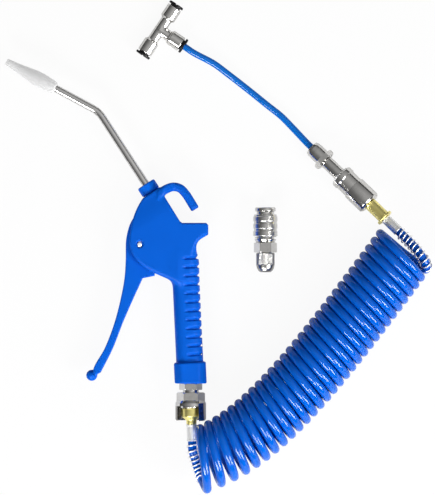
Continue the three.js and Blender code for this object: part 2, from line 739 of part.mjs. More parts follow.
// The valve's pieces in order along its axis, from the lever's pad inwards.
function valveTrain() {
  const outer = VALVE_BORE_RADIUS - FIT;
  const glandFrom = SLOT_WALL + FIT;
  const glandTo = glandFrom + GLAND_LENGTH;
  const sealTo = glandTo + FIT + STEM_SEAL_LENGTH;
  const seatTo = SEAT_RING_AT + SEAT_RING_LENGTH;
  const washerFrom = seatTo + FIT;
  const poppetFrom = washerFrom + WASHER_LENGTH + FIT;
  const poppetTo = poppetFrom + POPPET_LENGTH;
  const roundEnd = [0, 30, 60, 90].map(radians).map((angle) => [
    STEM_RADIUS * Math.sin(angle),
    FIT + STEM_RADIUS * (1 - Math.cos(angle)),
  ]);
  const stem = turned([...roundEnd, [STEM_RADIUS, poppetFrom], [POPPET_RADIUS, poppetFrom],
    [POPPET_RADIUS, poppetTo], [0, poppetTo]], SMALL_ROUND);
  const ring = (bore, radius, from, to) => sleeve(bore, radius, from, to, SMALL_ROUND);
  return groupIn(
    valveFrame,
    piece("valve_gland", ring(GLAND_BORE, outer, glandFrom, glandTo), BRASS),
    piece("stem_seal", ring(STEM_RADIUS + FIT, outer, glandTo + FIT, sealTo), RUBBER),
    piece("valve_seat", ring(SEAT_RING_BORE, outer, SEAT_RING_AT, seatTo), BRASS),
    piece("valve_stem", stem, BRASS),
    piece("valve_washer", ring(STEM_RADIUS + FIT, POPPET_RADIUS, washerFrom, poppetFrom - FIT),
      RUBBER),
    spring("valve_spring", VALVE_SPRING_RADIUS, VALVE_WIRE, poppetTo, VALVE_BORE_DEPTH,
      VALVE_SPRING_TURNS),
  );
}

// The nozzle's parts in the frame of its seat, the bend to the left.
function nozzle() {
  const bore = NOZZLE_RADIUS + FIT;
  const nutFace = NUT_RADIUS - NUT_CHAMFER;
  const nut = turned([[bore, -NUT_SPIGOT_LENGTH], [NUT_SPIGOT_RADIUS, -NUT_SPIGOT_LENGTH],
    [NUT_SPIGOT_RADIUS, FIT], [nutFace, FIT], [NUT_RADIUS, FIT + NUT_CHAMFER],
    [NUT_RADIUS, NUT_LENGTH - NUT_CHAMFER], [nutFace, NUT_LENGTH], [bore, NUT_LENGTH]]);
  const sealTo = -NUT_SPIGOT_LENGTH - FIT;
  const seal = sleeve(OUTLET_RADIUS, NUT_SPIGOT_RADIUS, sealTo - SEAL_LENGTH, sealTo);
  const tangent = NOZZLE_BEND_RADIUS * Math.tan(radians(NOZZLE_BEND / 2));
  const bendFrom = NOZZLE_FIRST_RUN - tangent;
  const bend = Array.from({ length: NOZZLE_BEND_STEPS + 1 }, (_, i) => {
    const angle = radians((NOZZLE_BEND * i) / NOZZLE_BEND_STEPS);
    const [side, forward] = [Math.cos(angle) - 1, Math.sin(angle)];
    return [NOZZLE_BEND_RADIUS * side, 0, bendFrom + NOZZLE_BEND_RADIUS * forward];
  });
  const [sx, , sz] = bend[NOZZLE_BEND_STEPS];
  const lean = radians(NOZZLE_BEND);
  const onSecondRun = (length) => [sx - length * Math.sin(lean), 0, sz + length * Math.cos(lean)];
  const runTo = (length) => [
    [0, 0, -NUT_SPIGOT_LENGTH], [0, 0, bendFrom - NOZZLE_LEAD], ...bend,
    onSecondRun(NOZZLE_LEAD), onSecondRun(length),
  ];
  const tipAt = NOZZLE_SECOND_RUN - tangent;
  const socketTo = tipAt + TIP_SOCKET_DEPTH;
  const outside = runTo(socketTo - FIT);
  const inside = [[0, 0, -NUT_SPIGOT_LENGTH - OVERCUT], ...runTo(socketTo + OVERCUT)];
  const tubeSolid = cut(
    solid(tube(outside, NOZZLE_RADIUS, NOZZLE_SIDES)),
    solid(tube(inside, NOZZLE_BORE, NOZZLE_SIDES)),
  );
  const tip = turned([[bore, 0], [TIP_REAR_RADIUS, 0], [TIP_SHOULDER_RADIUS, TIP_SHOULDER_AT],
    [TIP_FULL_RADIUS, TIP_FULL_AT], [TIP_CHEEK_RADIUS, TIP_CHEEK_AT],
    [TIP_TAPER_RADIUS, TIP_LENGTH * TIP_TAPER_SHARE], [TIP_FRONT_RADIUS, TIP_LENGTH],
    [TIP_BORE, TIP_LENGTH], [TIP_BORE, TIP_SOCKET_DEPTH], [bore, TIP_SOCKET_DEPTH]]);
  const tipGroup = new THREE.Group();
  tipGroup.position.set(...onSecondRun(tipAt));
  tipGroup.rotation.y = -lean;
  tipGroup.add(piece("nozzle_tip", tip, WHITE_PLASTIC));
  return groupIn(
    seatFrame,
    piece("nozzle_nut", nut, BLUE_MOULDING),
    piece("nozzle_seal", seal, RUBBER),
    piece("nozzle_tube", tubeSolid, STEEL),
    tipGroup,
  );
}

// ---- Coupler under the gun ----

const sleeveFrom = FIT + NIPPLE_HEX_LENGTH + NIPPLE_NECK_LENGTH;
const coreFrom = sleeveFrom + FIT;
const coreTo = coreFrom + GUN_CORE_LENGTH;
const gunPlugFrom = coreTo - PLUG_NOSE_LENGTH;
const gunPlugFrame = gunCouplerFrame.clone()
  .multiply(new THREE.Matrix4().makeTranslation(0, 0, gunPlugFrom))
  .multiply(new THREE.Matrix4().makeRotationY(-radians(GUN_PLUG_TILT)));
const gunBowlFrom = PLUG_NOSE_LENGTH + 2 * FIT;
const gunNeckTo = gunBowlFrom + BOWL_LENGTH + BOWL_CONE_LENGTH + TAIL_NECK_LENGTH;
const gunFerruleFrom = gunNeckTo + FIT;
const gunFerruleTo = gunFerruleFrom + FERRULE_LENGTH;

function inletNipple() {
  const hexTo = FIT + NIPPLE_HEX_LENGTH;
  const lower = coreFrom + GUN_CORE_LENGTH / 2;
  const body = join(
    shaft(NIPPLE_SPIGOT_RADIUS, -NIPPLE_SPIGOT_LENGTH, lower),
    shaft(NIPPLE_NECK_RADIUS, hexTo - OVERCUT, coreFrom - FIT),
    hexBar(NIPPLE_HEX, FIT, hexTo, NIPPLE_HEX_CHAMFER),
  );
  const airway = shaft(AIRWAY_RADIUS, -NIPPLE_SPIGOT_LENGTH - OVERCUT, lower + OVERCUT, SMALL_ROUND);
  return cut(body, airway);
}

function gunCoupler() {
  const shoulderFrom = coreFrom + GUN_SPRING_SPACE + GUN_SHOULDER_GAP;
  const nippleBore = NIPPLE_SPIGOT_RADIUS + FIT;
  const nippleTo = coreFrom + GUN_CORE_LENGTH / 2 + FIT;
  const socket = PLUG_NOSE_RADIUS + FIT;
  const socketFrom = gunPlugFrom - SEAL_LENGTH - 2 * FIT;
  const core = turned([[nippleBore, coreFrom], [GUN_CORE_RADIUS, coreFrom],
    [GUN_CORE_RADIUS, shoulderFrom], [GUN_CORE_SHOULDER_RADIUS, shoulderFrom],
    [GUN_CORE_SHOULDER_RADIUS, coreTo], [socket, coreTo], [socket, socketFrom],
    [AIRWAY_RADIUS, socketFrom], [AIRWAY_RADIUS, nippleTo], [nippleBore, nippleTo]]);
  const flangeTo = sleeveFrom + GUN_SLEEVE_FLANGE;
  const hexTo = sleeveFrom + GUN_SLEEVE_HEX_LENGTH;
  const end = sleeveFrom + GUN_SLEEVE_LENGTH;
  const inside = GUN_SLEEVE_RADIUS - GUN_SLEEVE_WALL;
  const springBore = GUN_CORE_SHOULDER_RADIUS + FIT;
  const skirtFrom = hexTo - GUN_SLEEVE_SLOPE;
  const skirt = turned([[0, skirtFrom], [GUN_SLEEVE_RADIUS - GUN_SLEEVE_STEP, skirtFrom],
    [GUN_SLEEVE_RADIUS, hexTo], [GUN_SLEEVE_RADIUS, end - GUN_SLEEVE_END_SLOPE],
    [GUN_SLEEVE_RADIUS - GUN_SLEEVE_END_STEP, end], [0, end]]);
  const far = GUN_SLEEVE_RADIUS + OVERCUT;
  const opening = [[-WINDOW_SIDE, -far], [far, -far], [far, WINDOW_TOP], [-WINDOW_SIDE, WINDOW_TOP]];
  const window = prism(opening, sleeveFrom + WINDOW_AT, end + OVERCUT);
  const sleeveBody = cut(
    join(hexBar(GUN_SLEEVE_HEX, sleeveFrom, hexTo, GUN_SLEEVE_HEX_CHAMFER), skirt),
    shaft(GUN_CORE_RADIUS + FIT, sleeveFrom - OVERCUT, end + OVERCUT),
    shaft(springBore, flangeTo, end + OVERCUT),
    shaft(inside, hexTo + GUN_SLEEVE_HEX_CHAMFER, end + OVERCUT),
    solid(window),
  );
  const sealFrom = socketFrom + FIT;
  const seal = sleeve(AIRWAY_RADIUS + FIT, PLUG_NOSE_RADIUS, sealFrom, sealFrom + SEAL_LENGTH);
  const springRadius = springBore - FIT - COUPLER_WIRE / 2;
  return groupIn(
    gunCouplerFrame,
    piece("inlet_nipple", inletNipple(), NICKEL),
    piece("gun_coupler_body", core, NICKEL),
    piece("gun_coupler_sleeve", sleeveBody, NICKEL),
    piece("gun_coupler_seal", seal, RUBBER),
    spring("gun_coupler_spring", springRadius, COUPLER_WIRE, flangeTo, shoulderFrom,
      COUPLER_SPRING_TURNS),
  );
}

function hoseTailOfGun() {
  const bowlTo = gunBowlFrom + BOWL_LENGTH;
  const coneTo = bowlTo + BOWL_CONE_LENGTH;
  const neckTo = gunNeckTo;
  const barbTo = neckTo + BARB_LENGTH;
  const tail = turned([[BARB_BORE, 0], [PLUG_NOSE_RADIUS - PLUG_CHAMFER, 0],
    [PLUG_NOSE_RADIUS, PLUG_CHAMFER], [PLUG_NOSE_RADIUS, gunBowlFrom], [BOWL_RADIUS, gunBowlFrom],
    [BOWL_RADIUS, bowlTo], [TAIL_NECK_RADIUS, coneTo], [TAIL_NECK_RADIUS, neckTo],
    [BARB_RADIUS, neckTo], [BARB_RADIUS, barbTo], [BARB_BORE, barbTo]]);
  const ferrule = sleeve(BARB_RADIUS + FIT, FERRULE_RADIUS, gunFerruleFrom, gunFerruleTo);
  return groupIn(
    gunPlugFrame,
    piece("gun_hose_tail", tail, BRASS),
    piece("gun_ferrule", ferrule, STEEL),
  );
}

// ---- The coil ----

// The middle of the hose round the coil's turns, and where its axis ends on the table. The axis
// bends as it runs and settles to its last heading.
function coilTurns() {
  const settled = radians(COIL_HEADING_END);
  const swing = settled - radians(COIL_HEADING_START);
  const sections = Math.round(COIL_TURNS * COIL_STEPS);
  const points = [];
  let [x, y] = COIL_START;
  let travelled = 0;
  let end;
  for (let i = 0; i <= sections * AXIS_STEPS; i++) {
    const fade = Math.exp(-travelled / COIL_BEND_LENGTH);
    const heading = settled - swing * fade;
    const turn = i / (COIL_STEPS * AXIS_STEPS);
    if (i % AXIS_STEPS === 0 && turn >= COIL_FIRST_TURN) {
      const across = heading - radians(COIL_LEAN) + Math.PI / 2;
      const angle = Math.PI - 2 * Math.PI * turn;
      const side = COIL_RADIUS * Math.cos(angle);
      const height = HOSE_DIAMETER / 2 + COIL_RADIUS * (1 + Math.sin(angle));
      points.push([x + side * Math.cos(across), y + side * Math.sin(across), height]);
    }
    end = [x, y];
    const bend = (swing / COIL_BEND_LENGTH) * fade;
    const advance = COIL_PITCH / (1 - bend * COIL_RADIUS) / (COIL_STEPS * AXIS_STEPS);
    x += advance * Math.cos(heading);
    y += advance * Math.sin(heading);
    travelled += advance;
  }
  return { points, end };
}

const coil = coilTurns();

// A place that is drawn from the end of the coil's axis.
const fromCoil = ([x, y, z]) => [coil.end[0] + x, coil.end[1] + y, z];

// ---- Coupler at the supply end ----

const supplyFrame = along(fromCoil(SUPPLY_AT), SUPPLY_HEADING, SUPPLY_FALL);
const brassTo = SUPPLY_FERRULE_LENGTH + FIT + FLANGE_LENGTH + BRASS_LENGTH;
const couplerFrom = brassTo + FIT;
const barrelTo = couplerFrom + BARREL_LENGTH;
const plugFrom = barrelTo - SOCKET_DEPTH + SEAL_LENGTH + 2 * FIT;
const plugTo = plugFrom + PLUG_SHAFT_LENGTH;
const nutTo = plugTo + FIT + COMPRESSION_HEX_LENGTH + DOME_LENGTH;

function supplyTail() {
  const flangeFrom = SUPPLY_FERRULE_LENGTH + FIT;
  const flangeTo = flangeFrom + FLANGE_LENGTH;
  const spigotTo = brassTo + BRASS_SPIGOT_LENGTH;
  const barbFrom = flangeFrom - BARB_LENGTH;
  return turned([[BARB_BORE, barbFrom], [BARB_RADIUS, barbFrom], [BARB_RADIUS, flangeFrom],
    [FLANGE_RADIUS, flangeFrom], [FLANGE_RADIUS, flangeTo], [BRASS_RADIUS, flangeTo],
    [BRASS_RADIUS, brassTo], [BRASS_SPIGOT_RADIUS, brassTo], [BRASS_SPIGOT_RADIUS, spigotTo],
    [BARB_BORE, spigotTo]]);
}

function couplerBody() {
  const [from, bevel] = [couplerFrom, SHELL_BEVEL];
  const spigotBore = BRASS_SPIGOT_RADIUS + FIT;
  const spigotTo = from + BRASS_SPIGOT_LENGTH;
  const shellInside = SHELL_RADIUS - SHELL_WALL;
  const socketFrom = barrelTo - SOCKET_DEPTH;
  const poppetBore = POPPET_NOSE_RADIUS + FIT;
  const [floor, rim] = [from + SHELL_FLOOR, from + SHELL_LENGTH];
  return turned([[spigotBore, from], [SHELL_RADIUS - bevel, from], [SHELL_RADIUS, from + bevel],
    [SHELL_RADIUS, rim], [shellInside, rim], [shellInside, floor], [BARREL_RADIUS, floor],
    [BARREL_RADIUS, barrelTo], [SOCKET_RADIUS, barrelTo], [SOCKET_RADIUS, socketFrom],
    [poppetBore, socketFrom], [poppetBore, spigotTo], [spigotBore, spigotTo]]);
}

function couplerSleeve() {
  const bore = BARREL_RADIUS + FIT;
  const neck = SHELL_RADIUS - SHELL_WALL - FIT;
  const [skirt, lip] = [couplerFrom + SLEEVE_SKIRT_AT, couplerFrom + SLEEVE_LIP_AT];
  const end = lip + SLEEVE_LIP_LENGTH;
  const mouth = bore + SLEEVE_MOUTH_STEP;
  const mouthFrom = end - CLIP_WIDTH - SLEEVE_MOUTH_STEP;
  return turned([[bore, skirt], [neck, skirt], [neck, lip - SLEEVE_LIP_SLOPE],
    [SLEEVE_LIP_RADIUS, lip], [SLEEVE_LIP_RADIUS, end - SLEEVE_LIP_CHAMFER],
    [SLEEVE_LIP_RADIUS - SLEEVE_LIP_CHAMFER, end], [mouth, end], [mouth, mouthFrom],
    [bore, mouthFrom]]);
}

function supplyCoupler() {
  const clipTo = barrelTo - CLIP_INSET;
  const clipBore = BARREL_RADIUS + FIT;
  const socketFrom = barrelTo - SOCKET_DEPTH;
  const sealFrom = socketFrom + FIT;
  const poppetTo = socketFrom + SEAL_LENGTH;
  const poppetFrom = poppetTo - CHECK_POPPET_LENGTH;
  const neckBore = SHELL_RADIUS - SHELL_WALL;
  const nose = PLUG_SHAFT_RADIUS;
  const plugThreadTo = plugTo + PLUG_THREAD_LENGTH;
  const plug = turned([[AIRWAY_RADIUS, plugFrom], [nose - PLUG_SHAFT_CHAMFER, plugFrom],
    [nose, plugFrom + PLUG_SHAFT_CHAMFER], [nose, plugTo], [PLUG_THREAD_RADIUS, plugTo],
    [PLUG_THREAD_RADIUS, plugThreadTo], [AIRWAY_RADIUS, plugThreadTo]]);
  const hexFrom = plugTo + FIT;
  const domeFrom = hexFrom + COMPRESSION_HEX_LENGTH;
  const threadTo = plugThreadTo + FIT;
  const oliveTo = threadTo + OLIVE_LENGTH + 2 * FIT;
  const tubeBore = TUBE_DIAMETER / 2 + TUBE_PLAY;
  const dome = turned([[0, domeFrom - OVERCUT], [DOME_RADIUS, domeFrom - OVERCUT],
    [DOME_RADIUS, nutTo - DOME_SHOULDER], [DOME_BROW_RADIUS, nutTo - DOME_BROW],
    [DOME_END_RADIUS, nutTo], [0, nutTo]]);
  const nut = cut(
    join(hexBar(COMPRESSION_HEX, hexFrom, domeFrom, COMPRESSION_HEX_CHAMFER), dome),
    shaft(PLUG_THREAD_RADIUS + FIT, hexFrom - OVERCUT, oliveTo),
    shaft(tubeBore, hexFrom, nutTo + OVERCUT),
  );
  const oliveBore = TUBE_DIAMETER / 2 + FIT;
  const oliveFace = OLIVE_RADIUS - OLIVE_SLOPE;
  const olive = turned([[oliveBore, threadTo], [oliveFace, threadTo],
    [OLIVE_RADIUS, threadTo + OLIVE_LENGTH / 2], [oliveFace, threadTo + OLIVE_LENGTH],
    [oliveBore, threadTo + OLIVE_LENGTH]]);
  const ferrule = sleeve(BARB_RADIUS + FIT, FERRULE_RADIUS, 0, SUPPLY_FERRULE_LENGTH);
  const clip = sleeve(clipBore, clipBore + CLIP_HEIGHT, clipTo - CLIP_WIDTH, clipTo);
  const seal = sleeve(POPPET_NOSE_RADIUS + 2 * FIT, SOCKET_RADIUS - FIT, sealFrom,
    sealFrom + SEAL_LENGTH);
  return groupIn(
    supplyFrame,
    piece("supply_ferrule", ferrule, STEEL),
    piece("supply_hose_tail", supplyTail(), BRASS),
    piece("supply_coupler_body", couplerBody(), NICKEL),
    piece("supply_coupler_sleeve", couplerSleeve(), NICKEL),
    spring("supply_coupler_spring", neckBore - FIT - COUPLER_WIRE / 2, COUPLER_WIRE,
      couplerFrom + SHELL_FLOOR, couplerFrom + SLEEVE_SKIRT_AT, COUPLER_SPRING_TURNS),
    piece("supply_coupler_clip", clip, STEEL),
    piece("supply_coupler_seal", seal, RUBBER),
    piece("supply_check_poppet", shaft(POPPET_NOSE_RADIUS, poppetFrom, poppetTo, SMALL_ROUND),
      BRASS),
    spring("supply_check_spring", POPPET_NOSE_RADIUS - VALVE_WIRE / 2, VALVE_WIRE,
      poppetFrom - CHECK_SPRING_LENGTH, poppetFrom, CHECK_SPRING_TURNS),
    piece("supply_plug", plug, NICKEL),
    piece("compression_nut", nut, NICKEL),
    piece("compression_olive", olive, BRASS),
  );
}

// ---- Hose, its guards and the straight tube ----

const inGun = new THREE.Matrix4().makeTranslation(...GUN_AT, GUN_HEIGHT);

// The route of the hose: out of the gun's ferrule, along the tail, round the coil's turns and
// along the other tail into the supply's ferrule.
function hoseRoute() {
  const gunEnd = (height) =>
    new THREE.Vector3(0, 0, height).applyMatrix4(gunPlugFrame).applyMatrix4(inGun);
  const supplyEnd = (height) => new THREE.Vector3(0, 0, height).applyMatrix4(supplyFrame);
  const drawn = [...GUN_TAIL, ...coil.points, ...SUPPLY_TAIL.map(fromCoil)];
  return [
    gunEnd(gunFerruleTo + FIT),
    gunEnd(gunFerruleTo + FIT + HOSE_DIAMETER / 2),
    gunEnd(gunFerruleTo + FIT + HOSE_DIAMETER),
    ...drawn.map((p) => new THREE.Vector3(...p)),
    supplyEnd(-FIT - HOSE_DIAMETER),
    supplyEnd(-FIT - HOSE_DIAMETER / 2),
    supplyEnd(-FIT),
  ];
}

function hoseAndGuards() {
  const points = hoseRoute();
  reportGap("coiled_hose", points, COIL_STEPS, HOSE_DIAMETER);
  const supplyPoints = points.slice(-GUARDED_POINTS).reverse();
  return [
    piece("coiled_hose", solid(tube(points, HOSE_DIAMETER / 2, HOSE_SIDES)), HOSE_PLASTIC),
    guardOn("gun_hose_guard", points.slice(0, GUARDED_POINTS), GUN_GUARD_LENGTH),
    guardOn("supply_hose_guard", supplyPoints, SUPPLY_GUARD_LENGTH),
  ];
}

const teeAt = fromCoil(TEE_AT);
const branchFrame = along(teeAt, TEE_HEADING - 90);

function straightTube() {
  const start = (height) => new THREE.Vector3(0, 0, height).applyMatrix4(supplyFrame);
  const end = (height) => new THREE.Vector3(0, 0, height).applyMatrix4(branchFrame);
  const nutEnd = nutTo - TUBE_INSERTION;
  const socketEnd = TEE_BRANCH_LENGTH - TEE_SOCKET_DEPTH + FIT;
  const mouth = TEE_BRANCH_LENGTH + COLLET_RIM;
  const points = [
    start(nutEnd),
    start(nutTo - TUBE_LEAD),
    start(nutTo + TUBE_DIAMETER),
    ...TUBE_PATH.map((p) => new THREE.Vector3(...fromCoil(p))),
    end(mouth + TUBE_DIAMETER * 2),
    end(mouth + TUBE_DIAMETER / 2),
    end(mouth - TUBE_LEAD),
    end(socketEnd),
  ];
  return piece("straight_tube", solid(tube(points, TUBE_DIAMETER / 2, TUBE_SIDES)), HOSE_PLASTIC);
}

// ---- Push-in tee ----

function teePort(length) {
  const barrelFrom = length - TEE_BARREL_LENGTH;
  const socketFrom = length - TEE_SOCKET_DEPTH;
  const end = length + OVERCUT;
  return {
    body: turnedGeometry([[0, 0], [TEE_WAIST_RADIUS, 0],
      [TEE_WAIST_RADIUS, barrelFrom - TEE_SHOULDER], [TEE_BARREL_RADIUS, barrelFrom],
      [TEE_BARREL_RADIUS, length - TEE_EDGE], [TEE_BARREL_RADIUS - TEE_EDGE, length],
      [0, length]], SMALL_ROUND),
    bore: turnedGeometry([[0, -OVERCUT], [AIRWAY_RADIUS, -OVERCUT], [AIRWAY_RADIUS, socketFrom],
      [TEE_SOCKET_RADIUS, socketFrom], [TEE_SOCKET_RADIUS, end], [0, end]], SMALL_ROUND),
  };
}

function tee() {
  const ports = [
    { name: "upper", heading: TEE_HEADING, length: TEE_HALF_LENGTH },
    { name: "lower", heading: TEE_HEADING + 180, length: TEE_HALF_LENGTH },
    { name: "branch", heading: TEE_HEADING - 90, length: TEE_BRANCH_LENGTH },
  ];
  const frames = ports.map(({ heading }) => along([0, 0], heading));
  const made = ports.map(({ length }) => teePort(length));
  const body = cut(
    join(...made.map(({ body: b }, i) => solid(b.applyMatrix4(frames[i])))),
    ...made.map(({ bore }, i) => solid(bore.applyMatrix4(frames[i]))),
  );
  const place = new THREE.Matrix4().makeTranslation(...teeAt);
  const group = groupIn(place, piece("tee_body", body, NICKEL));
  ports.forEach(({ name, length }, i) => {
    const rimFrom = length + COLLET_TRAVEL + FIT;
    const rimTo = rimFrom + COLLET_RIM;
    const colletFrom = length - COLLET_LENGTH;
    const ring = turned([[COLLET_BORE, colletFrom], [COLLET_RADIUS, colletFrom],
      [COLLET_RADIUS, rimFrom], [COLLET_RIM_RADIUS, rimFrom],
      [COLLET_RIM_RADIUS, rimTo - COLLET_EDGE], [COLLET_RIM_RADIUS - COLLET_EDGE, rimTo],
      [COLLET_BORE, rimTo]]);
    const [w, h] = [COLLET_NOTCH / 2, COLLET_RIM_RADIUS + OVERCUT];
    const across = [[-w, -h], [w, -h], [w, h], [-w, h]];
    const notch = solid(prism(across, rimTo - COLLET_NOTCH_DEPTH, rimTo + OVERCUT));
    const sealFrom = length - TEE_SOCKET_DEPTH + FIT;
    const sealTo = sealFrom + TUBE_SEAL_LENGTH;
    const seal = sleeve(COLLET_BORE, TEE_SOCKET_RADIUS - FIT, sealFrom, sealTo, SMALL_ROUND);
    group.add(
      groupIn(
        frames[i],
        piece(`tee_collet_${name}`, cut(ring, notch), BLACK_PLASTIC),
        piece(`tee_seal_${name}`, seal, RUBBER),
      ),
    );
  });
  return group;
}

// ---- Spare coupler ----

function spareCoupler() {
  const ringFrom = SPARE_BARREL_LENGTH;
  const hexFrom = ringFrom + SPARE_RING_LENGTH;
  const hexTo = hexFrom + SPARE_HEX_LENGTH;
  const spigotTo = hexTo + SPARE_SPIGOT_LENGTH;
  const barbTo = hexTo + SPARE_BARB_LENGTH;
  const springFrom = SPARE_SLEEVE_AT + SPARE_SLEEVE_LENGTH - SPARE_SPRING_SPACE;
  const poppetFrom = SPARE_SOCKET_DEPTH + FIT;
  const poppetTo = poppetFrom + SPARE_POPPET_LENGTH;
  const chamberTo = poppetTo + SPARE_CHAMBER_LENGTH;
  const body = cut(
    join(
      turned([[0, 0], [SPARE_LIP_RADIUS - SPARE_CHAMFER, 0], [SPARE_LIP_RADIUS, SPARE_CHAMFER],
        [SPARE_LIP_RADIUS, SPARE_LIP_LENGTH - SPARE_SMALL_CHAMFER],
        [SPARE_NECK_RADIUS, SPARE_LIP_LENGTH], [SPARE_NECK_RADIUS, ringFrom],
        [SPARE_RING_RADIUS, ringFrom + SPARE_SMALL_CHAMFER],
        [SPARE_RING_RADIUS, hexFrom + OVERCUT], [0, hexFrom + OVERCUT]]),
      hexBar(SPARE_HEX, hexFrom, hexTo, SPARE_HEX_CHAMFER),
      shaft(SPARE_SPIGOT_RADIUS, hexTo - OVERCUT, spigotTo),
      shaft(SPARE_BARB_RADIUS, spigotTo - OVERCUT, barbTo),
    ),
    shaft(SPARE_SOCKET_RADIUS, -OVERCUT, SPARE_SOCKET_DEPTH),
    shaft(SPARE_POPPET_RADIUS + FIT, SPARE_SOCKET_DEPTH - OVERCUT, chamberTo),
    shaft(BARB_BORE, chamberTo - OVERCUT, barbTo + OVERCUT, SMALL_ROUND),
  );
  const sleeveTo = SPARE_SLEEVE_AT + SPARE_SLEEVE_LENGTH - SPARE_SLEEVE_TRAVEL - FIT;
  const bore = SPARE_NECK_RADIUS + FIT;
  const springBore = SPARE_SLEEVE_RADIUS - SPARE_SLEEVE_WALL;
  const low = SPARE_SLEEVE_RADIUS - SPARE_BAND_GROOVE;
  const bands = Array.from({ length: SPARE_SLEEVE_BANDS }, (_, i) => {
    const from = SPARE_SLEEVE_AT + SPARE_FIRST_BAND + i * SPARE_BAND_PITCH;
    const to = from + SPARE_BAND_WIDTH;
    return [[low, from], [SPARE_SLEEVE_RADIUS, from + SPARE_BAND_EDGE], [SPARE_SLEEVE_RADIUS, to],
      [low, to + SPARE_BAND_EDGE]];
  });
  const sleeveFace = SPARE_SLEEVE_RADIUS - SPARE_CHAMFER;
  const sleeveBody = turned([[bore, SPARE_SLEEVE_AT], [sleeveFace, SPARE_SLEEVE_AT],
    ...bands.flat(), [sleeveFace, sleeveTo], [springBore, sleeveTo], [springBore, springFrom],
    [bore, springFrom]]);
  const nutFrom = hexTo + FIT;
  const nutEnd = nutFrom + SPARE_NUT_LENGTH;
  const nutBore = SPARE_SPIGOT_RADIUS + FIT;
  const nut = turned([[nutBore, nutFrom], [SPARE_NUT_RADIUS - SPARE_SMALL_CHAMFER, nutFrom],
    [SPARE_NUT_RADIUS, nutFrom + SPARE_SMALL_CHAMFER],
    ...SPARE_NUT_DOME.map(([radius, fromEnd]) => [radius, nutEnd - fromEnd]),
    [SPARE_NUT_BORE, nutEnd], [SPARE_NUT_BORE, spigotTo + FIT], [nutBore, spigotTo + FIT]]);
  const noseTo = poppetFrom + SPARE_POPPET_NOSE;
  const poppet = turned([[0, poppetFrom], [SPARE_POPPET_RADIUS - SPARE_POPPET_NOSE, poppetFrom],
    [SPARE_POPPET_RADIUS, noseTo], [SPARE_POPPET_RADIUS, poppetTo], [0, poppetTo]], SMALL_ROUND);
  const springRadius = springBore - FIT - COUPLER_WIRE / 2;
  return groupIn(
    along(SPARE_AT, -90),
    piece("spare_coupler_body", body, NICKEL),
    piece("spare_coupler_sleeve", sleeveBody, NICKEL),
    spring("spare_coupler_spring", springRadius, COUPLER_WIRE, springFrom, ringFrom,
      COUPLER_SPRING_TURNS),
    piece("spare_check_poppet", poppet, BRASS),
    spring("spare_check_spring", SPARE_POPPET_RADIUS - VALVE_WIRE, VALVE_WIRE, poppetTo, chamberTo,
      CHECK_SPRING_TURNS),
    piece("spare_hose_nut", nut, NICKEL),
  );
}

// ---- The set ----

const gun = groupIn(
  inGun,
  piece("gun_housing", gunHousing(), BLUE_MOULDING),
  piece("trigger_lever", triggerLever(), BLUE_MOULDING),
  piece("trigger_pin", triggerPin(), STEEL),
  valveTrain(),
  nozzle(),
  gunCoupler(),
  hoseTailOfGun(),
);

const set = new THREE.Group();
set.add(gun, ...hoseAndGuards(), supplyCoupler(), straightTube(), tee(), spareCoupler());

// The origin is on the table under the middle of the layout.
const extent = new THREE.Box3().setFromObject(set, true);
const middle = extent.getCenter(new THREE.Vector3());
set.position.set(-middle.x, -middle.y, 0);

export default set;
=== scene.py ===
import json
import math

import bmesh
import bpy
import numpy as np
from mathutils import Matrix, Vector


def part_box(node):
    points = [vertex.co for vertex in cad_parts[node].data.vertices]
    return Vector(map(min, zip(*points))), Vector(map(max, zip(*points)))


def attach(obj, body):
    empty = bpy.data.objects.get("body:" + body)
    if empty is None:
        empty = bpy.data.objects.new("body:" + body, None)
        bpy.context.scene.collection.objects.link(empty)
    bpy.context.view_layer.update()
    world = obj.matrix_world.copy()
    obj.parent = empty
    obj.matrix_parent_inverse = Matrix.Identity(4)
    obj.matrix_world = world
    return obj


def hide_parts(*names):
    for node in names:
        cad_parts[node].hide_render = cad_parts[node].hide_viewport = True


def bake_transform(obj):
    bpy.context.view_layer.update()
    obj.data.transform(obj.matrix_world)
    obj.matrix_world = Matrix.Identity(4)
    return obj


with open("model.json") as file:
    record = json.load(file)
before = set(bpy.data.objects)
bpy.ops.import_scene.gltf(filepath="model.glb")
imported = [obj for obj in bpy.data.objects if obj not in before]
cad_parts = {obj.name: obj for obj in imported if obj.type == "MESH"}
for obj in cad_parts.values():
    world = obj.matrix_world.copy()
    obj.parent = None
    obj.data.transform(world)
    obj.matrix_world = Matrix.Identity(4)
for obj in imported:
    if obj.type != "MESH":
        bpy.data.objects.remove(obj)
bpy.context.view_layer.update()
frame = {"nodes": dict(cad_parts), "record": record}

# ---- The table, the camera and the light ----
# The set lies on a pale table and is seen from straight above, as a catalogue picture is taken.
# Two soft lamps stand on the near side, with a strip of light by each, in a room of soft greys.

scene = bpy.context.scene
scene.view_settings.view_transform = "Standard"

MM = 0.001
PIXEL = 0.9 * MM  # width of a pixel of the photograph on the table
PICTURE_HEIGHT = 495
CAMERA_DISTANCE = 4.0
CAMERA_FOCUS = 0.02  # height over the table at which the picture has its scale
SENSOR = 36
GUN_AT = (-70, 2.4, 15)  # the middle of the trigger pin, in millimetres from the layout's middle

# Where the middle of the layout lies on the table, from the place of the pin's solid.
pin_middle = [(low + high) / 2 for low, high in zip(*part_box("trigger_pin"))]
layout = np.array([pin_middle[0] - GUN_AT[0] * MM, pin_middle[1] - GUN_AT[1] * MM, 0])

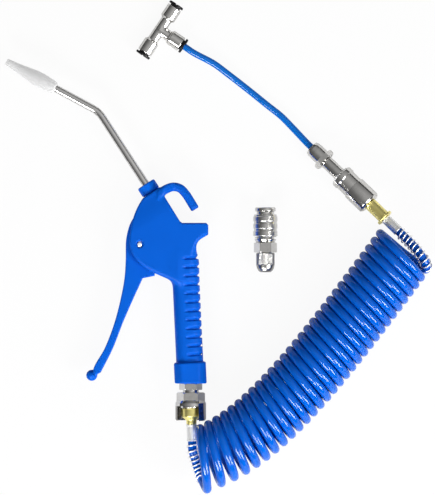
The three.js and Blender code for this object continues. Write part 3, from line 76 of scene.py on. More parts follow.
lens = bpy.data.cameras.new("camera")
lens.sensor_width = SENSOR
lens.lens = SENSOR * CAMERA_DISTANCE / (PICTURE_HEIGHT * PIXEL)
camera = bpy.data.objects.new("camera", lens)
camera.location = (layout[0], layout[1] - PIXEL / 2, CAMERA_DISTANCE + CAMERA_FOCUS)
scene.collection.objects.link(camera)
scene.camera = camera


class Wire:
    """A socket in a tree of nodes. Sums and products of wires add Math nodes."""

    def __init__(self, socket):
        self.socket = socket

    def node(self, kind, settings=None, sockets=None, output=0):
        """Adds a node of a type: its settings first, then values or wires for its sockets."""
        tree = self.socket.id_data
        made = tree.nodes.new("ShaderNode" + kind)
        settings = dict(settings or {})
        for place, value in enumerate(settings.pop("stops", ())):
            if place >= 2:
                made.color_ramp.elements.new(1)
            made.color_ramp.elements[place].position = value[0]
            made.color_ramp.elements[place].color = value[1]
        for name, value in settings.items():
            setattr(made, name, value)
        for name, value in (sockets or {}).items():
            if isinstance(value, Wire):
                tree.links.new(value.socket, made.inputs[name])
            else:
                made.inputs[name].default_value = value
        return Wire(made.outputs[output])

    def __add__(self, other):
        return self.node("Math", {"operation": "ADD"}, {0: self, 1: other})

    def __mul__(self, other):
        return self.node("Math", {"operation": "MULTIPLY"}, {0: self, 1: other})

    __radd__ = __add__
    __rmul__ = __mul__


def grey(level):
    return (level, level, level, 1)


# The room's brightest direction, and its greys: first by how near a direction comes to that one,
# from 0 away from it to 1 along it, and then by how high it points. The second darkens the first.
BRIGHTEST = (0.42, 0.1, 0.9)
ROOM_TONES = ((0.3, 0.2), (0.5, 0.12), (0.62, 0.14), (0.75, 0.22), (0.87, 0.36), (0.95, 0.46),
              (1, 0.7))
BAND_TONES = ((0, 0.25), (0.14, 0.15), (0.32, 1))


def tones_of(value, stops):
    """The greys that a value from 0 to 1 picks from a ramp."""
    return value.node("ValToRGB", {"stops": [(at, grey(tone)) for at, tone in stops]}, {0: value})


def dress_room():
    """The room: white to the camera. To the rest it is brightest in one direction, over the right
    side, darker away from that, and darkest in a band along the floor."""
    world = bpy.data.worlds.new("room")
    world.use_nodes = True
    scene.world = world
    tree = world.node_tree
    tree.nodes.clear()
    direction = Wire(tree.nodes.new("ShaderNodeTexCoord").outputs["Generated"])
    towards = direction.node("VectorMath", {"operation": "DOT_PRODUCT"},
                             {0: direction, 1: BRIGHTEST}, output=1)
    height = direction.node("SeparateXYZ", sockets={0: direction}, output=2)
    glow, band = tones_of(towards * 0.5 + 0.5, ROOM_TONES), tones_of(height, BAND_TONES)
    tone = glow.node("Mix", {"data_type": "RGBA", "blend_type": "MULTIPLY"},
                     {0: 1.0, 6: glow, 7: band}, output=2)
    room = tone.node("Background", sockets={"Color": tone})
    white = tone.node("Background", sockets={"Color": grey(1)})
    seen = Wire(tree.nodes.new("ShaderNodeLightPath").outputs["Is Camera Ray"])
    mixed = seen.node("MixShader", sockets={0: seen, 1: room, 2: white})
    out = tree.nodes.new("ShaderNodeOutputWorld")
    tree.links.new(mixed.socket, out.inputs["Surface"])


dress_room()

# Each lamp: its place, the width and height of its face, and its power. The two strips show
# only as streaks in glossy skins and plating, and light nothing.
LAMPS = {
    "lamp_left": ((-0.45, -1.3, 1.0), (0.9, 0.5), 18.5),
    "lamp_right": ((1.15, -0.8, 0.9), (0.5, 0.9), 19.5),
    "strip_left": ((-0.45, -1.3, 0.98), (1.2, 0.55), 26),
    "strip_right": ((1.15, -0.8, 0.88), (0.55, 1.2), 26),
}
for name, (place, face, power) in LAMPS.items():
    light = bpy.data.lights.new(name, "AREA")
    light.shape = "RECTANGLE"
    light.size, light.size_y = face
    light.energy = power
    lamp = bpy.data.objects.new(name, light)
    lamp.location = place
    lamp.visible_diffuse = not name.startswith("strip")
    lamp.rotation_euler = (-Vector(place)).to_track_quat("-Z", "Y").to_euler()
    scene.collection.objects.link(lamp)

FLOOR_HALF = 4
TABLE_TONE = 0.9
TABLE_ROUGHNESS = 0.9
TABLE_SHEEN = 0.1
SEEN_WHITE = 0.93  # the share of plain white in what the camera sees of the table
MIRRORED_WHITE = 0.2  # and in what glossy pieces mirror of it

floor_mesh = bpy.data.meshes.new("floor")
floor_corners = [(FLOOR_HALF * x, FLOOR_HALF * y, 0)
                 for x, y in ((-1, -1), (1, -1), (1, 1), (-1, 1))]
floor_mesh.from_pydata(floor_corners, [], [(0, 1, 2, 3)])
floor = bpy.data.objects.new("floor", floor_mesh)
scene.collection.objects.link(floor)


def dress_floor():
    """The table: white and matt. Most of what the camera sees of it and a little of what pieces
    mirror of it is plain white, and the rest keeps the shadows."""
    material = bpy.data.materials.new("table_white")
    material.use_nodes = True
    tree = material.node_tree
    shader = tree.nodes["Principled BSDF"]
    shader.inputs["Base Color"].default_value = grey(TABLE_TONE)
    shader.inputs["Roughness"].default_value = TABLE_ROUGHNESS
    shader.inputs["Specular IOR Level"].default_value = TABLE_SHEEN
    path = tree.nodes.new("ShaderNodeLightPath")
    seen, mirrored = (Wire(path.outputs[name]) for name in ("Is Camera Ray", "Is Glossy Ray"))
    white = seen.node("Emission", sockets={"Color": grey(1), "Strength": 1.0})
    share = seen * SEEN_WHITE + mirrored * MIRRORED_WHITE
    mixed = seen.node("MixShader", sockets={0: share, 1: Wire(shader.outputs[0]), 2: white})
    tree.links.new(mixed.socket, tree.nodes["Material Output"].inputs["Surface"])
    floor_mesh.materials.append(material)


dress_floor()

# ---- The coiled hose ----
# One length of nominal 8 mm polyurethane hose, blown glossy and slightly clear, wound on a
# mandrel so that it springs back. Both ends leave the coil in a curve and go into ferrules.

HOSE_DIAMETER = 7.8
COIL_RADIUS = 26.5
COIL_TURNS = 29.75
COIL_FIRST_TURN = 1 / 12
COIL_STEPS = 12
COIL_PITCH = 8.285
COIL_START = (-14.8, -190.4)
COIL_HEADINGS = (17, 54)  # of its axis at its start, and where it settles
COIL_BEND_LENGTH = 60
COIL_LEAN = 6.5
COIL_AXIS_LENGTH = 300
COIL_AXIS_POINTS = 6001
GUN_TAIL = [[-20.6, -189.9, 13.4], [-18.3, -198, 12.4], [-15.6, -205.8, 14.2],
            [-12.9, -211.9, 18.8], [-10.9, -215.9, 24.9], [-9.6, -217.4, 31.4],
            [-9.1, -216.3, 37.8]]
SUPPLY_TAIL = [[174.2, -10, 4.8], [180.3, -15.2, 8], [185, -19, 14], [187.3, -20.2, 21],
               [187.6, -18, 28], [186.1, -13.6, 32.6], [183.2, -8.4, 34.4], [179.1, -2.9, 33.2],
               [174.6, 2.3, 30.7]]
SPAN_STEPS = 9  # rings of the hose from one drawn point to the next
HOSE_SIDES = 28
FIT = 0.3
COLLAR_AT = (45.9, -125.2)  # the grip's end, from the pin
GUN_PLUG_AT = 18.4  # along the coupler, where the hose tail's bowl tilts
GUN_PLUG_TILT = 2.2
GUN_FERRULE = (18.6, 33.6)
SUPPLY_AT = (162.5, 14.4, 26.5)
SUPPLY_HEADING = 135.8
SUPPLY_FALL = 10
HOSE_COAT = 0.6
HOSE_COAT_ROUGHNESS = 0.03
HOSE_CLOUDS = (0.6, 0.02)  # of its colour, round the tube and along it
DIE_LINES = (5.0, 0.01)
DIE_LINE_DEPTH = 0.005
DIE_LINE_SHEEN = 0.06  # how much the roughness changes over them


def frame_along(at, heading, fall=0):
    """A place and three axes: X level to the right of a heading, Y down from it, Z along it."""
    turn, slope = math.radians(heading), math.radians(fall)
    level = math.cos(slope)
    ahead = np.array([math.cos(turn) * level, math.sin(turn) * level, -math.sin(slope)])
    side = np.array([math.sin(turn), -math.cos(turn), 0])
    return np.array([*at, 0][:3], float), np.stack([side, np.cross(ahead, side), ahead])


def within(frame_of, points):
    """Points of a frame in the frame that holds it: its place plus each number along its axis."""
    at, axes = frame_of
    return at + np.asarray(points, float) @ axes


def tilted(frame_of, forward, angle):
    """A frame moved forward along its Z and then turned about its Y, its Z towards minus X."""
    at, (side, down, ahead) = frame_of
    c, s = math.cos(math.radians(angle)), math.sin(math.radians(angle))
    return at + forward * ahead, np.stack([c * side + s * ahead, down, c * ahead - s * side])


gun_frame = (np.array(GUN_AT, float), np.eye(3))
gun_coupler_frame = frame_along(within(gun_frame, (*COLLAR_AT, 0)), -90)
gun_plug_frame = tilted(gun_coupler_frame, GUN_PLUG_AT, GUN_PLUG_TILT)
supply_frame = frame_along(SUPPLY_AT, SUPPLY_HEADING, SUPPLY_FALL)


def coil_points():
    """The drawn points of the coil. The axis turns from its first heading to its last by a share
    that fades with the length s as exp(-s / L), and a turn takes the pitch on the inner side of
    the bend, so n turns end where s + k L (exp(-s / L) - 1) is n pitches, k being the bend's
    angle times the radius over L. Each point stands square to the axis, leaning back."""
    s = np.linspace(0, COIL_AXIS_LENGTH, COIL_AXIS_POINTS)
    first, last = np.radians(COIL_HEADINGS)
    swing = last - first
    fade = np.exp(-s / COIL_BEND_LENGTH)
    heading = last - swing * fade
    steps = np.diff(s)[:, None] * np.stack([np.cos(heading), np.sin(heading)], 1)[:-1]
    axis = np.array(COIL_START) + np.vstack([[0, 0], np.cumsum(steps, 0)])
    turns = (s + swing * COIL_RADIUS * (fade - 1)) / COIL_PITCH
    start, end = (round(turns_to * COIL_STEPS) for turns_to in (COIL_FIRST_TURN, COIL_TURNS))
    turn = np.arange(start, end + 1) / COIL_STEPS
    x, y, way = (np.interp(turn, turns, v) for v in (axis[:, 0], axis[:, 1], heading))
    across = way - math.radians(COIL_LEAN) + math.pi / 2
    angle = math.pi - 2 * math.pi * turn
    side = COIL_RADIUS * np.cos(angle)
    height = HOSE_DIAMETER / 2 + COIL_RADIUS * (1 + np.sin(angle))
    return np.stack([x + side * np.cos(across), y + side * np.sin(across), height], 1)


def smooth_route(points, steps):
    """A centripetal Catmull-Rom line through points: on each span a cubic whose end slopes come
    from its neighbours, weighed by the square root of their distances."""
    points = np.asarray(points, float)
    held = np.vstack([2 * points[0] - points[1], points, 2 * points[-1] - points[-2]])
    p0, p1, p2, p3 = held[:-3], held[1:-2], held[2:-1], held[3:]
    a, b, c = (np.linalg.norm(q - p, axis=1, keepdims=True) ** 0.5
               for p, q in ((p0, p1), (p1, p2), (p2, p3)))
    leave = b * ((p1 - p0) / a - (p2 - p0) / (a + b) + (p2 - p1) / b)
    reach = b * ((p2 - p1) / b - (p3 - p1) / (b + c) + (p3 - p2) / c)
    t = np.linspace(0, 1, steps, endpoint=False)[None, :, None]
    p1, p2, leave, reach = (v[:, None, :] for v in (p1, p2, leave, reach))
    line = (p1 + leave * t + (3 * (p2 - p1) - 2 * leave - reach) * t**2
            + (2 * (p1 - p2) + leave + reach) * t**3)
    return np.vstack([line.reshape(-1, 3), points[-1]])


def length_of(route):
    """The length along a route at each of its points."""
    return np.concatenate([[0], np.cumsum(np.linalg.norm(np.diff(route, axis=0), axis=1))])


def normals_along(route):
    """Two directions square to a route at each point, which turn as little as they can: each is
    the last one with what lies along the new direction taken out."""
    tangents = np.gradient(route, axis=0)
    tangents /= np.linalg.norm(tangents, axis=1, keepdims=True)
    first = np.cross(tangents[0], (0, 0, 1) if abs(tangents[0][2]) < 0.9 else (1, 0, 0))
    normals = [first / np.linalg.norm(first)]
    for tangent in tangents[1:]:
        turned_on = normals[-1] - tangent * (normals[-1] @ tangent)
        normals.append(turned_on / np.linalg.norm(turned_on))
    normals = np.array(normals)
    return normals, np.cross(tangents, normals)


def tube_grid(route, radius, sides):
    """A round tube: rings of a radius about each point of a route, closed by a point at each end.
    Its pattern runs round the tube and along its length."""
    normals, others = normals_along(route)
    turn = np.linspace(0, 2 * math.pi, sides, endpoint=False)[None, :, None]
    radius = np.broadcast_to(radius, len(route))[:, None, None]
    outwards = np.cos(turn) * normals[:, None] + np.sin(turn) * others[:, None]
    rings = route[:, None] + radius * outwards
    ends = [np.broadcast_to(route[i], (1, sides, 3)) for i in (0, -1)]
    along = length_of(route)
    pattern = np.empty_like(rings)
    pattern[..., 0] = np.cos(turn[..., 0])
    pattern[..., 1] = np.sin(turn[..., 0])
    pattern[..., 2] = along[:, None]
    closed = np.concatenate([ends[0], rings, ends[1]])
    return closed, np.concatenate([pattern[:1], pattern, pattern[-1:]])


SHARP_EDGE = math.radians(38)


def mesh_of(name, grids):
    """A mesh of one or more grids of points in layout millimetres, each with its pattern. The
    columns of a grid close on themselves, and so do its rows unless they end in points. Each
    shell is turned to face outwards by the sign of its volume."""
    places, patterns, faces, count = [], [], [], 0
    for points, pattern in grids:
        rows, columns = points.shape[:2]
        loops = not np.allclose(points[0], points[0, 0])
        number = np.arange(rows * columns).reshape(rows, columns)
        below = number if loops else number[:-1]
        above = np.roll(number, -1, 0) if loops else number[1:]
        corners = [below, np.roll(below, -1, 1), np.roll(above, -1, 1), above]
        quads = np.stack(corners, -1).reshape(-1, 4)
        flat = points.reshape(-1, 3)
        a, b, c, d = (flat[quads[:, i]] - flat.mean(0) for i in range(4))
        volume = sum(np.einsum("ij,ij->", a, np.cross(*pair)) for pair in ((b, c), (c, d)))
        faces.append((quads if volume > 0 else quads[:, ::-1]) + count)
        places.append(flat)
        patterns.append(pattern.reshape(-1, 3))
        count += len(flat)
    mesh = bpy.data.meshes.new(name)
    mesh.from_pydata(np.vstack(places) * MM + layout, [], np.vstack(faces))
    turning = mesh.attributes.new("turning", "FLOAT_VECTOR", "POINT")
    turning.data.foreach_set("vector", np.vstack(patterns).ravel())
    return welded(mesh)


def welded(mesh):
    """The mesh with points that coincide made one, and its edges sharp where faces turn a lot."""
    edit = bmesh.new()
    edit.from_mesh(mesh)
    bmesh.ops.remove_doubles(edit, verts=edit.verts, dist=MM * 1e-4)
    edit.to_mesh(mesh)
    edit.free()
    mesh.polygons.foreach_set("use_smooth", [True] * len(mesh.polygons))
    mesh.set_sharp_from_angle(angle=SHARP_EDGE)
    return mesh


def piece(mesh, material, body, slot, *nodes):
    """An object of a mesh, which rides on a body and stands for CAD nodes. Its slot is not used."""
    made = bpy.data.objects.new(mesh.name, mesh)
    scene.collection.objects.link(made)
    mesh.materials.clear()
    mesh.materials.append(material)
    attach(made, body)
    if nodes:
        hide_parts(*nodes)
    return made


def new_finish(name, colour, roughness, **others):
    """A material of one shader, and a wire on the object's coordinates in millimetres."""
    material = bpy.data.materials.new(name)
    material.use_nodes = True
    tree = material.node_tree
    shader = tree.nodes["Principled BSDF"]
    shader.inputs["Base Color"].default_value = (*colour, 1)
    shader.inputs["Roughness"].default_value = roughness
    for socket, value in others.items():
        shader.inputs[socket.replace("_", " ")].default_value = value
    place = Wire(tree.nodes.new("ShaderNodeTexCoord").outputs["Object"])
    scaled = place.node("VectorMath", {"operation": "SCALE"}, {0: place, "Scale": 1 / MM})
    return material, shader, scaled


def along_surface(place, around, along):
    """The pattern that follows a turned surface, stretched round it and along it."""
    pattern = place.node("Attribute", {"attribute_name": "turning"}, output=1)
    return place.node("VectorMath", {"operation": "MULTIPLY"},
                      {0: pattern, 1: (around, around, along)})


def clouds(vector, scale, detail=2.0, roughness=0.5):
    """Soft noise over a pattern, from 0 to 1."""
    sockets = {"Vector": vector, "Scale": scale, "Detail": detail, "Roughness": roughness}
    return vector.node("TexNoise", sockets=sockets)


def feed(shader, **wires):
    for socket, wire in wires.items():
        shader.id_data.links.new(wire.socket, shader.inputs[socket.replace("_", " ")])


def blend(factor, first, second):
    """One colour to another by a factor."""
    return factor.node("Mix", {"data_type": "RGBA"},
                       {0: factor, 6: (*first, 1), 7: (*second, 1)}, output=2)


def relief(height, depth, strength=1.0):
    """A bump of a height from 0 to 1 that is that many millimetres deep."""
    sockets = {"Height": height, "Distance": depth * MM, "Strength": strength}
    return height.node("Bump", sockets=sockets)


def hose_finish(name, deep, pale, roughness):
    """Blown polyurethane: a clear glossy skin over a deep blue that clouds a little along the
    tube, with the faint lines that the die leaves along it."""
    material, shader, place = new_finish(name, deep, roughness, Specular_IOR_Level=0,
                                         Coat_Weight=HOSE_COAT, Coat_Roughness=HOSE_COAT_ROUGHNESS)
    lines = clouds(along_surface(place, *DIE_LINES), 1.0, 3.0)
    feed(shader, Base_Color=blend(clouds(along_surface(place, *HOSE_CLOUDS), 1.0), deep, pale),
         Roughness=lines * DIE_LINE_SHEEN + (roughness - DIE_LINE_SHEEN / 2),
         Normal=relief(lines, DIE_LINE_DEPTH))
    return material


hose_blue = hose_finish("hose_blue", (0, 0.095, 0.54), (0, 0.125, 0.64), 0.2)


def on_gun_plug(height):
    return within(gun_plug_frame, (0, 0, height))


def on_supply(height):
    return within(supply_frame, (0, 0, height))


hose_route = smooth_route(np.vstack([
    [on_gun_plug(GUN_FERRULE[1] + FIT + gap) for gap in (0, HOSE_DIAMETER / 2, HOSE_DIAMETER)],
    GUN_TAIL, coil_points(), SUPPLY_TAIL,
    [on_supply(-FIT - gap) for gap in (HOSE_DIAMETER, HOSE_DIAMETER / 2, 0)],
]), SPAN_STEPS)
hose_mesh = mesh_of("hose", [tube_grid(hose_route, HOSE_DIAMETER / 2, HOSE_SIDES)])
hose = piece(hose_mesh, hose_blue, "set", "hose_plastic", "coiled_hose")

# ---- The straight tube ----
# A short length of 6 mm polyurethane tube, cut square. One end sits in the compression nut and
# the other in the branch of the tee, and between them it lies on the table in a slight curve.

TUBE_DIAMETER = 6
TUBE_PATH = [[68.9, 106.6, 4.1], [57.5, 118.2, 3.4], [44.8, 128.3, 3.2], [32.8, 138, 3.2],
             [20.7, 147.6, 3.5], [8.7, 156.8, 4.2], [-3.4, 165.7, 5.2]]
TUBE_SIDES = 32
NUT_END = 109.6
TUBE_IN_NUT = 9
MOUTH_DEPTH = 1  # where the tube's last drawn point inside a mouth lies
TEE_AT = (-52.2, 196, 7.2)
TEE_HEADING = 56
TEE_BRANCH_MOUTH = 24.9
TUBE_STOP = 11.7  # the tube's end, from the middle of the tee

branch_frame = frame_along(TEE_AT, TEE_HEADING - 90)
by_nut = (NUT_END - TUBE_IN_NUT, NUT_END - MOUTH_DEPTH, NUT_END + TUBE_DIAMETER)
by_tee = (TEE_BRANCH_MOUTH + 2 * TUBE_DIAMETER, TEE_BRANCH_MOUTH + TUBE_DIAMETER / 2,
          TEE_BRANCH_MOUTH - MOUTH_DEPTH, TUBE_STOP)
tube_route = smooth_route(np.vstack([
    [on_supply(height) for height in by_nut],
    TUBE_PATH,
    [within(branch_frame, (0, 0, height)) for height in by_tee],
]), SPAN_STEPS)
tube_blue = hose_finish("tube_blue", (0, 0.14, 0.58), (0, 0.17, 0.68), 0.2)
tube_mesh = mesh_of("tube", [tube_grid(tube_route, TUBE_DIAMETER / 2, TUBE_SIDES)])
straight_tube = piece(tube_mesh, tube_blue, "set", "hose_plastic", "straight_tube")

# ---- Wire guards ----
# Each is zinc-plated spring wire wound in an open coil round the hose where it leaves its
# ferrule, so that the hose can't kink there. It sits loose between the ferrule and the coil.

GUARD_WIRE = 1.3
GUARD_RADIUS = 5
GUARD_PITCH = 4.5
GUARD_STEPS = 40  # points of a turn
GUARD_START = 1.3
GUARD_FIRST_TURN = 0.25
GUARD_SIDES = 10
GUN_GUARD_LENGTH = 37
SUPPLY_GUARD_LENGTH = 43


def worn(shader, tone, wear, roughness, grain, depth=0.02):
    """Feeds a tone to a shader, a roughness that its wear moves by a tenth either way, and the
    relief of a grain."""
    feed(shader, Base_Color=tone, Roughness=wear * 0.2 + (roughness - 0.1),
         Normal=relief(grain, depth, 0.5))


def metal_finish(name, colour, dull, roughness):
    """Metal whose tone clouds a little, with the fine marks that a tool left round it."""
    material, shader, place = new_finish(name, colour, roughness, Metallic=1.0)
    marks = clouds(along_surface(place, 1.5, 5.0), 1.0, 4.0, 0.6)
    worn(shader, blend(clouds(place, 0.3), colour, dull), marks, roughness, marks)
    return material


def wound(route, length):
    """Wire wound round a route: its middle goes round the route's own point at a radius while
    that point moves on by a pitch each turn."""
    turns = np.linspace(0, length / GUARD_PITCH, round(length / GUARD_PITCH * GUARD_STEPS))
    marks = GUARD_START + turns * GUARD_PITCH
    along = length_of(route)
    middle = np.stack([np.interp(marks, along, route[:, axis]) for axis in range(3)], 1)
    normals, others = normals_along(middle)
    turn = 2 * math.pi * (turns + GUARD_FIRST_TURN)[:, None]
    return middle + GUARD_RADIUS * (np.cos(turn) * normals + np.sin(turn) * others)


steel = metal_finish("zinc_steel", (0.97, 0.97, 0.96), (0.88, 0.88, 0.87), 0.45)
for node, route, length in (("gun_hose_guard", hose_route, GUN_GUARD_LENGTH),
                            ("supply_hose_guard", hose_route[::-1], SUPPLY_GUARD_LENGTH)):
    wire = tube_grid(wound(route, length), GUARD_WIRE / 2, GUARD_SIDES)
    piece(mesh_of(node + "_wire", [wire]), steel, "set", "steel", node)

# ---- The gun's housing ----
# One glass-filled nylon moulding: two cheeks round the trigger's slot, a hanging hook, a heel over
# the hand, a ribbed grip and a faceted collar. The inlet nipple screws into the collar.

HEAD_HALF = 14
HEAD_THINNED = 2  # less beside the nozzle's seat, and where the grip takes over
HEAD_EDGE = (1.5, 2.6, 6)  # rounding of its edges, more where they face down, and by the grip
SEAT_AT = (10.45, 46.5)
NOZZLE_HEADING = 123
GRIP_HALF = (12.2, 12)
GRIP_SQUARENESS = 2.7
GRIP_HEADING = 92.65
GRIP_REACH = (17, 117)  # from the collar's end face
RIB_PITCH = 7.9
RIB_FIRST = 25.3
RIB_COUNT = 12
RIB_DEPTH = 1.7
RIB_WALLS = (0.9, 3)  # the steep one below the deepest line, and the slow one above it
COLLAR_HALF = (14.4, 15)
COLLAR_CHAMFER = 6
COLLAR_LENGTH = 19
COLLAR_EDGE = 1.5
COLLAR_ROUNDING = (1, 2.5)  # between its faces, and where the chamfers meet them
HOOK_PATH = [(12.5, 40.5), (17.5, 45.2), (23.4, 49.5), (30.4, 51.8), (36.6, 50.2), (41.6, 45),
             (45.9, 38.3), (50.2, 31.2)]
HOOK_HALF = (3.9, 5)
HOOK_CORNER = 1.5
HOOK_EDGE = 3
HOOK_ROOT_HALF = 13.6  # where it stands out of the cheeks
SLOT_HALF = 8.3
SLOT_EDGE = 0.1
PIN_HOLE = 2.5
PIN_RECESS = (3.2, 12.8)  # its radius, and the height of its floor
VALVE_ARM = 18
VALVE_HEADING = 36.3
VALVE_BORE = (5, 4.2, 43.2)  # radius, start and end of a bore along its axis
SEAT_BORE = (5.5, -9.4, 2)
NIPPLE_BORE = (5.5, -13.3, 2)
BORE_EDGE = 0.3
GRIP_FILLET = 8
GRIP_TOP_FILLET = 14
HOOK_FILLET = 2.5
COLLAR_FILLET = 1.6
COLLAR_END_FILLET = 2
HOUSING_BOX = ((-12, -127, -16), (64, 57.5, 16))
HOUSING_STEP = 0.6

# Where a change over the housing begins, and the length it takes, minus where it comes on as the
# measure falls. A pair of them holds one for x and one for y.
THIN_BY_SEAT = (-22, 22)
THIN_BY_GRIP = ((33, 9), (-4, -18))
ROUND_BY_GRIP = ((36, 14), (6, -18))
HOOK_ROOT_FROM = (8, 10)
HOOK_ROOT_TO = (33, -12)
RIBS_ACROSS = (-3.2, 5)
RIBS_END = 56  # no ribs beyond this x, which lies in the heel

valve_turn = math.radians(VALVE_HEADING)
valve_ahead = np.array([math.cos(valve_turn), math.sin(valve_turn)])
valve_right = np.array([math.sin(valve_turn), -math.cos(valve_turn)])
valve_at = VALVE_ARM * valve_right


def by_valve(height, side=0):
    """A point along the valve's axis, and one to the right of it, in the plane of the gun."""
    return valve_at + height * valve_ahead + side * valve_right


def curve_through(*corners, steps=14):
    """Points of a cubic between two end points with two handles, the last left out."""
    a, b, c, d = (np.array(corner, float) for corner in corners)
    t = np.linspace(0, 1, steps, endpoint=False)[:, None]
    return (1 - t) ** 3 * a + 3 * (1 - t) ** 2 * t * b + 3 * (1 - t) * t**2 * c + t**3 * d


head_outline = np.vstack([
    curve_through((3.15, 41.76), (-4, 32), (-9, 18), (-9.2, 0.9)),
    curve_through((-9.2, 0.9), (-8.8, -12), (3, -21.5), (11.2, -25.1)),
    [(11.2, -25.1), (24, -30.6), (31, -33.6), (38, -35.8), (47, -35), (50.2, -20)],
    curve_through((50.9, -3), (51.2, 4.5), (57, 5.4), (61.7, 8.8)),
    [(61.7, 8.8), (61.7, 17.4), (59.8, 19.3), (38.2, 19.3), (36, 21), (19.75, 47.24),
     (17.75, 51.24)],
])
slot_outline = np.vstack([
    [(-30, 26.4), (-3.2, 26.4), (-0.4, 12.6), (6.6, 6.4), (9.8, -1.5)],
    [by_valve(6.2, -4.6), by_valve(6.2, 8.4), (23.4, -25), (20, -42), (-30, -42)],
])


def hook_outline():
    """A band along the hook's path: the path's points moved out to both sides, its ends square."""
    route = smooth_route([(*point, 0) for point in HOOK_PATH], SPAN_STEPS)
    along = length_of(route)
    route = route[along <= along[-1] - HOOK_CORNER]
    out, _ = normals_along(route)
    half = HOOK_HALF[0] - HOOK_CORNER
    return np.vstack([(route + half * out)[:, :2], (route - half * out)[::-1, :2]])


def outline_distance(x, y, corners):
    """The distance from an outline, less than zero inside it, and how much its nearest side faces
    up. It is the least distance to a side, and its sign comes from how many lie to the right."""
    start = np.asarray(corners, float)
    side = np.roll(start, -1, 0) - start
    shape = (-1,) + (1,) * np.broadcast(x, y).ndim
    from_x, from_y, side_x, side_y = (v.reshape(shape) for v in (*start.T, *side.T))
    at_x, at_y = x - from_x, y - from_y
    share = np.clip((at_x * side_x + at_y * side_y) / (side_x**2 + side_y**2), 0, 1)
    gap_x, gap_y = at_x - share * side_x, at_y - share * side_y
    gap = np.hypot(gap_x, gap_y)
    nearest = gap.argmin(0)[None]
    distance = np.take_along_axis(gap, nearest, 0)[0]
    up = np.take_along_axis(gap_y + 0 * gap, nearest, 0)[0] / (distance + 1e-9)
    spans = (at_y < 0) != (at_y < side_y)
    right = at_x < side_x * at_y / np.where(side_y == 0, 1, side_y)
    sign = 1 - 2 * ((spans & right).sum(0) % 2)
    return distance * sign, up * sign


def thick(distance, z, half, edge):
    """A flat form made thick about z = 0 with a rounded edge: the distances from its outline and
    from its faces, both moved in by the edge, meet as the sides of a right angle."""
    out, up = distance + edge, np.abs(z) - half + edge
    outside = np.hypot(np.maximum(out, 0), np.maximum(up, 0))
    return outside + np.minimum(np.maximum(out, up), 0) - edge


def merged(first, second, fillet):
    """Two forms as one with a fillet: where their distances differ by less than it, the lesser
    goes down by a sixth of the fillet times the cube of the share that is left."""
    left = np.maximum(fillet - np.abs(first - second), 0) / fillet
    return np.minimum(first, second) - left**3 * fillet / 6


def without(form, cutter, fillet=0.6):
    """A form less another, with a fillet along the cut."""
    return -merged(-form, cutter, fillet)


def eased_step(value):
    """From 0 to 1 with level ends: three squares less two cubes."""
    value = np.clip(value, 0, 1)
    return value * value * (3 - 2 * value)


def rising(value, start, run):
    """The eased step of a value that begins at a start and takes a run, or falls for minus it."""
    return eased_step((value - start) / run)


def beside(x, y, at, heading):
    """Places of the plane seen along a heading: how far to its right, and how far along it."""
    c, s = math.cos(math.radians(heading)), math.sin(math.radians(heading))
    x, y = x - at[0], y - at[1]
    return x * s - y * c, x * c + y * s


def bore(x, y, z, at, heading, size):
    """A round bore along a heading of the plane: its radius, its start and its end."""
    right, along = beside(x, y, at, heading)
    return np.maximum(np.hypot(right, z) - size[0], np.maximum(size[1] - along, along - size[2]))


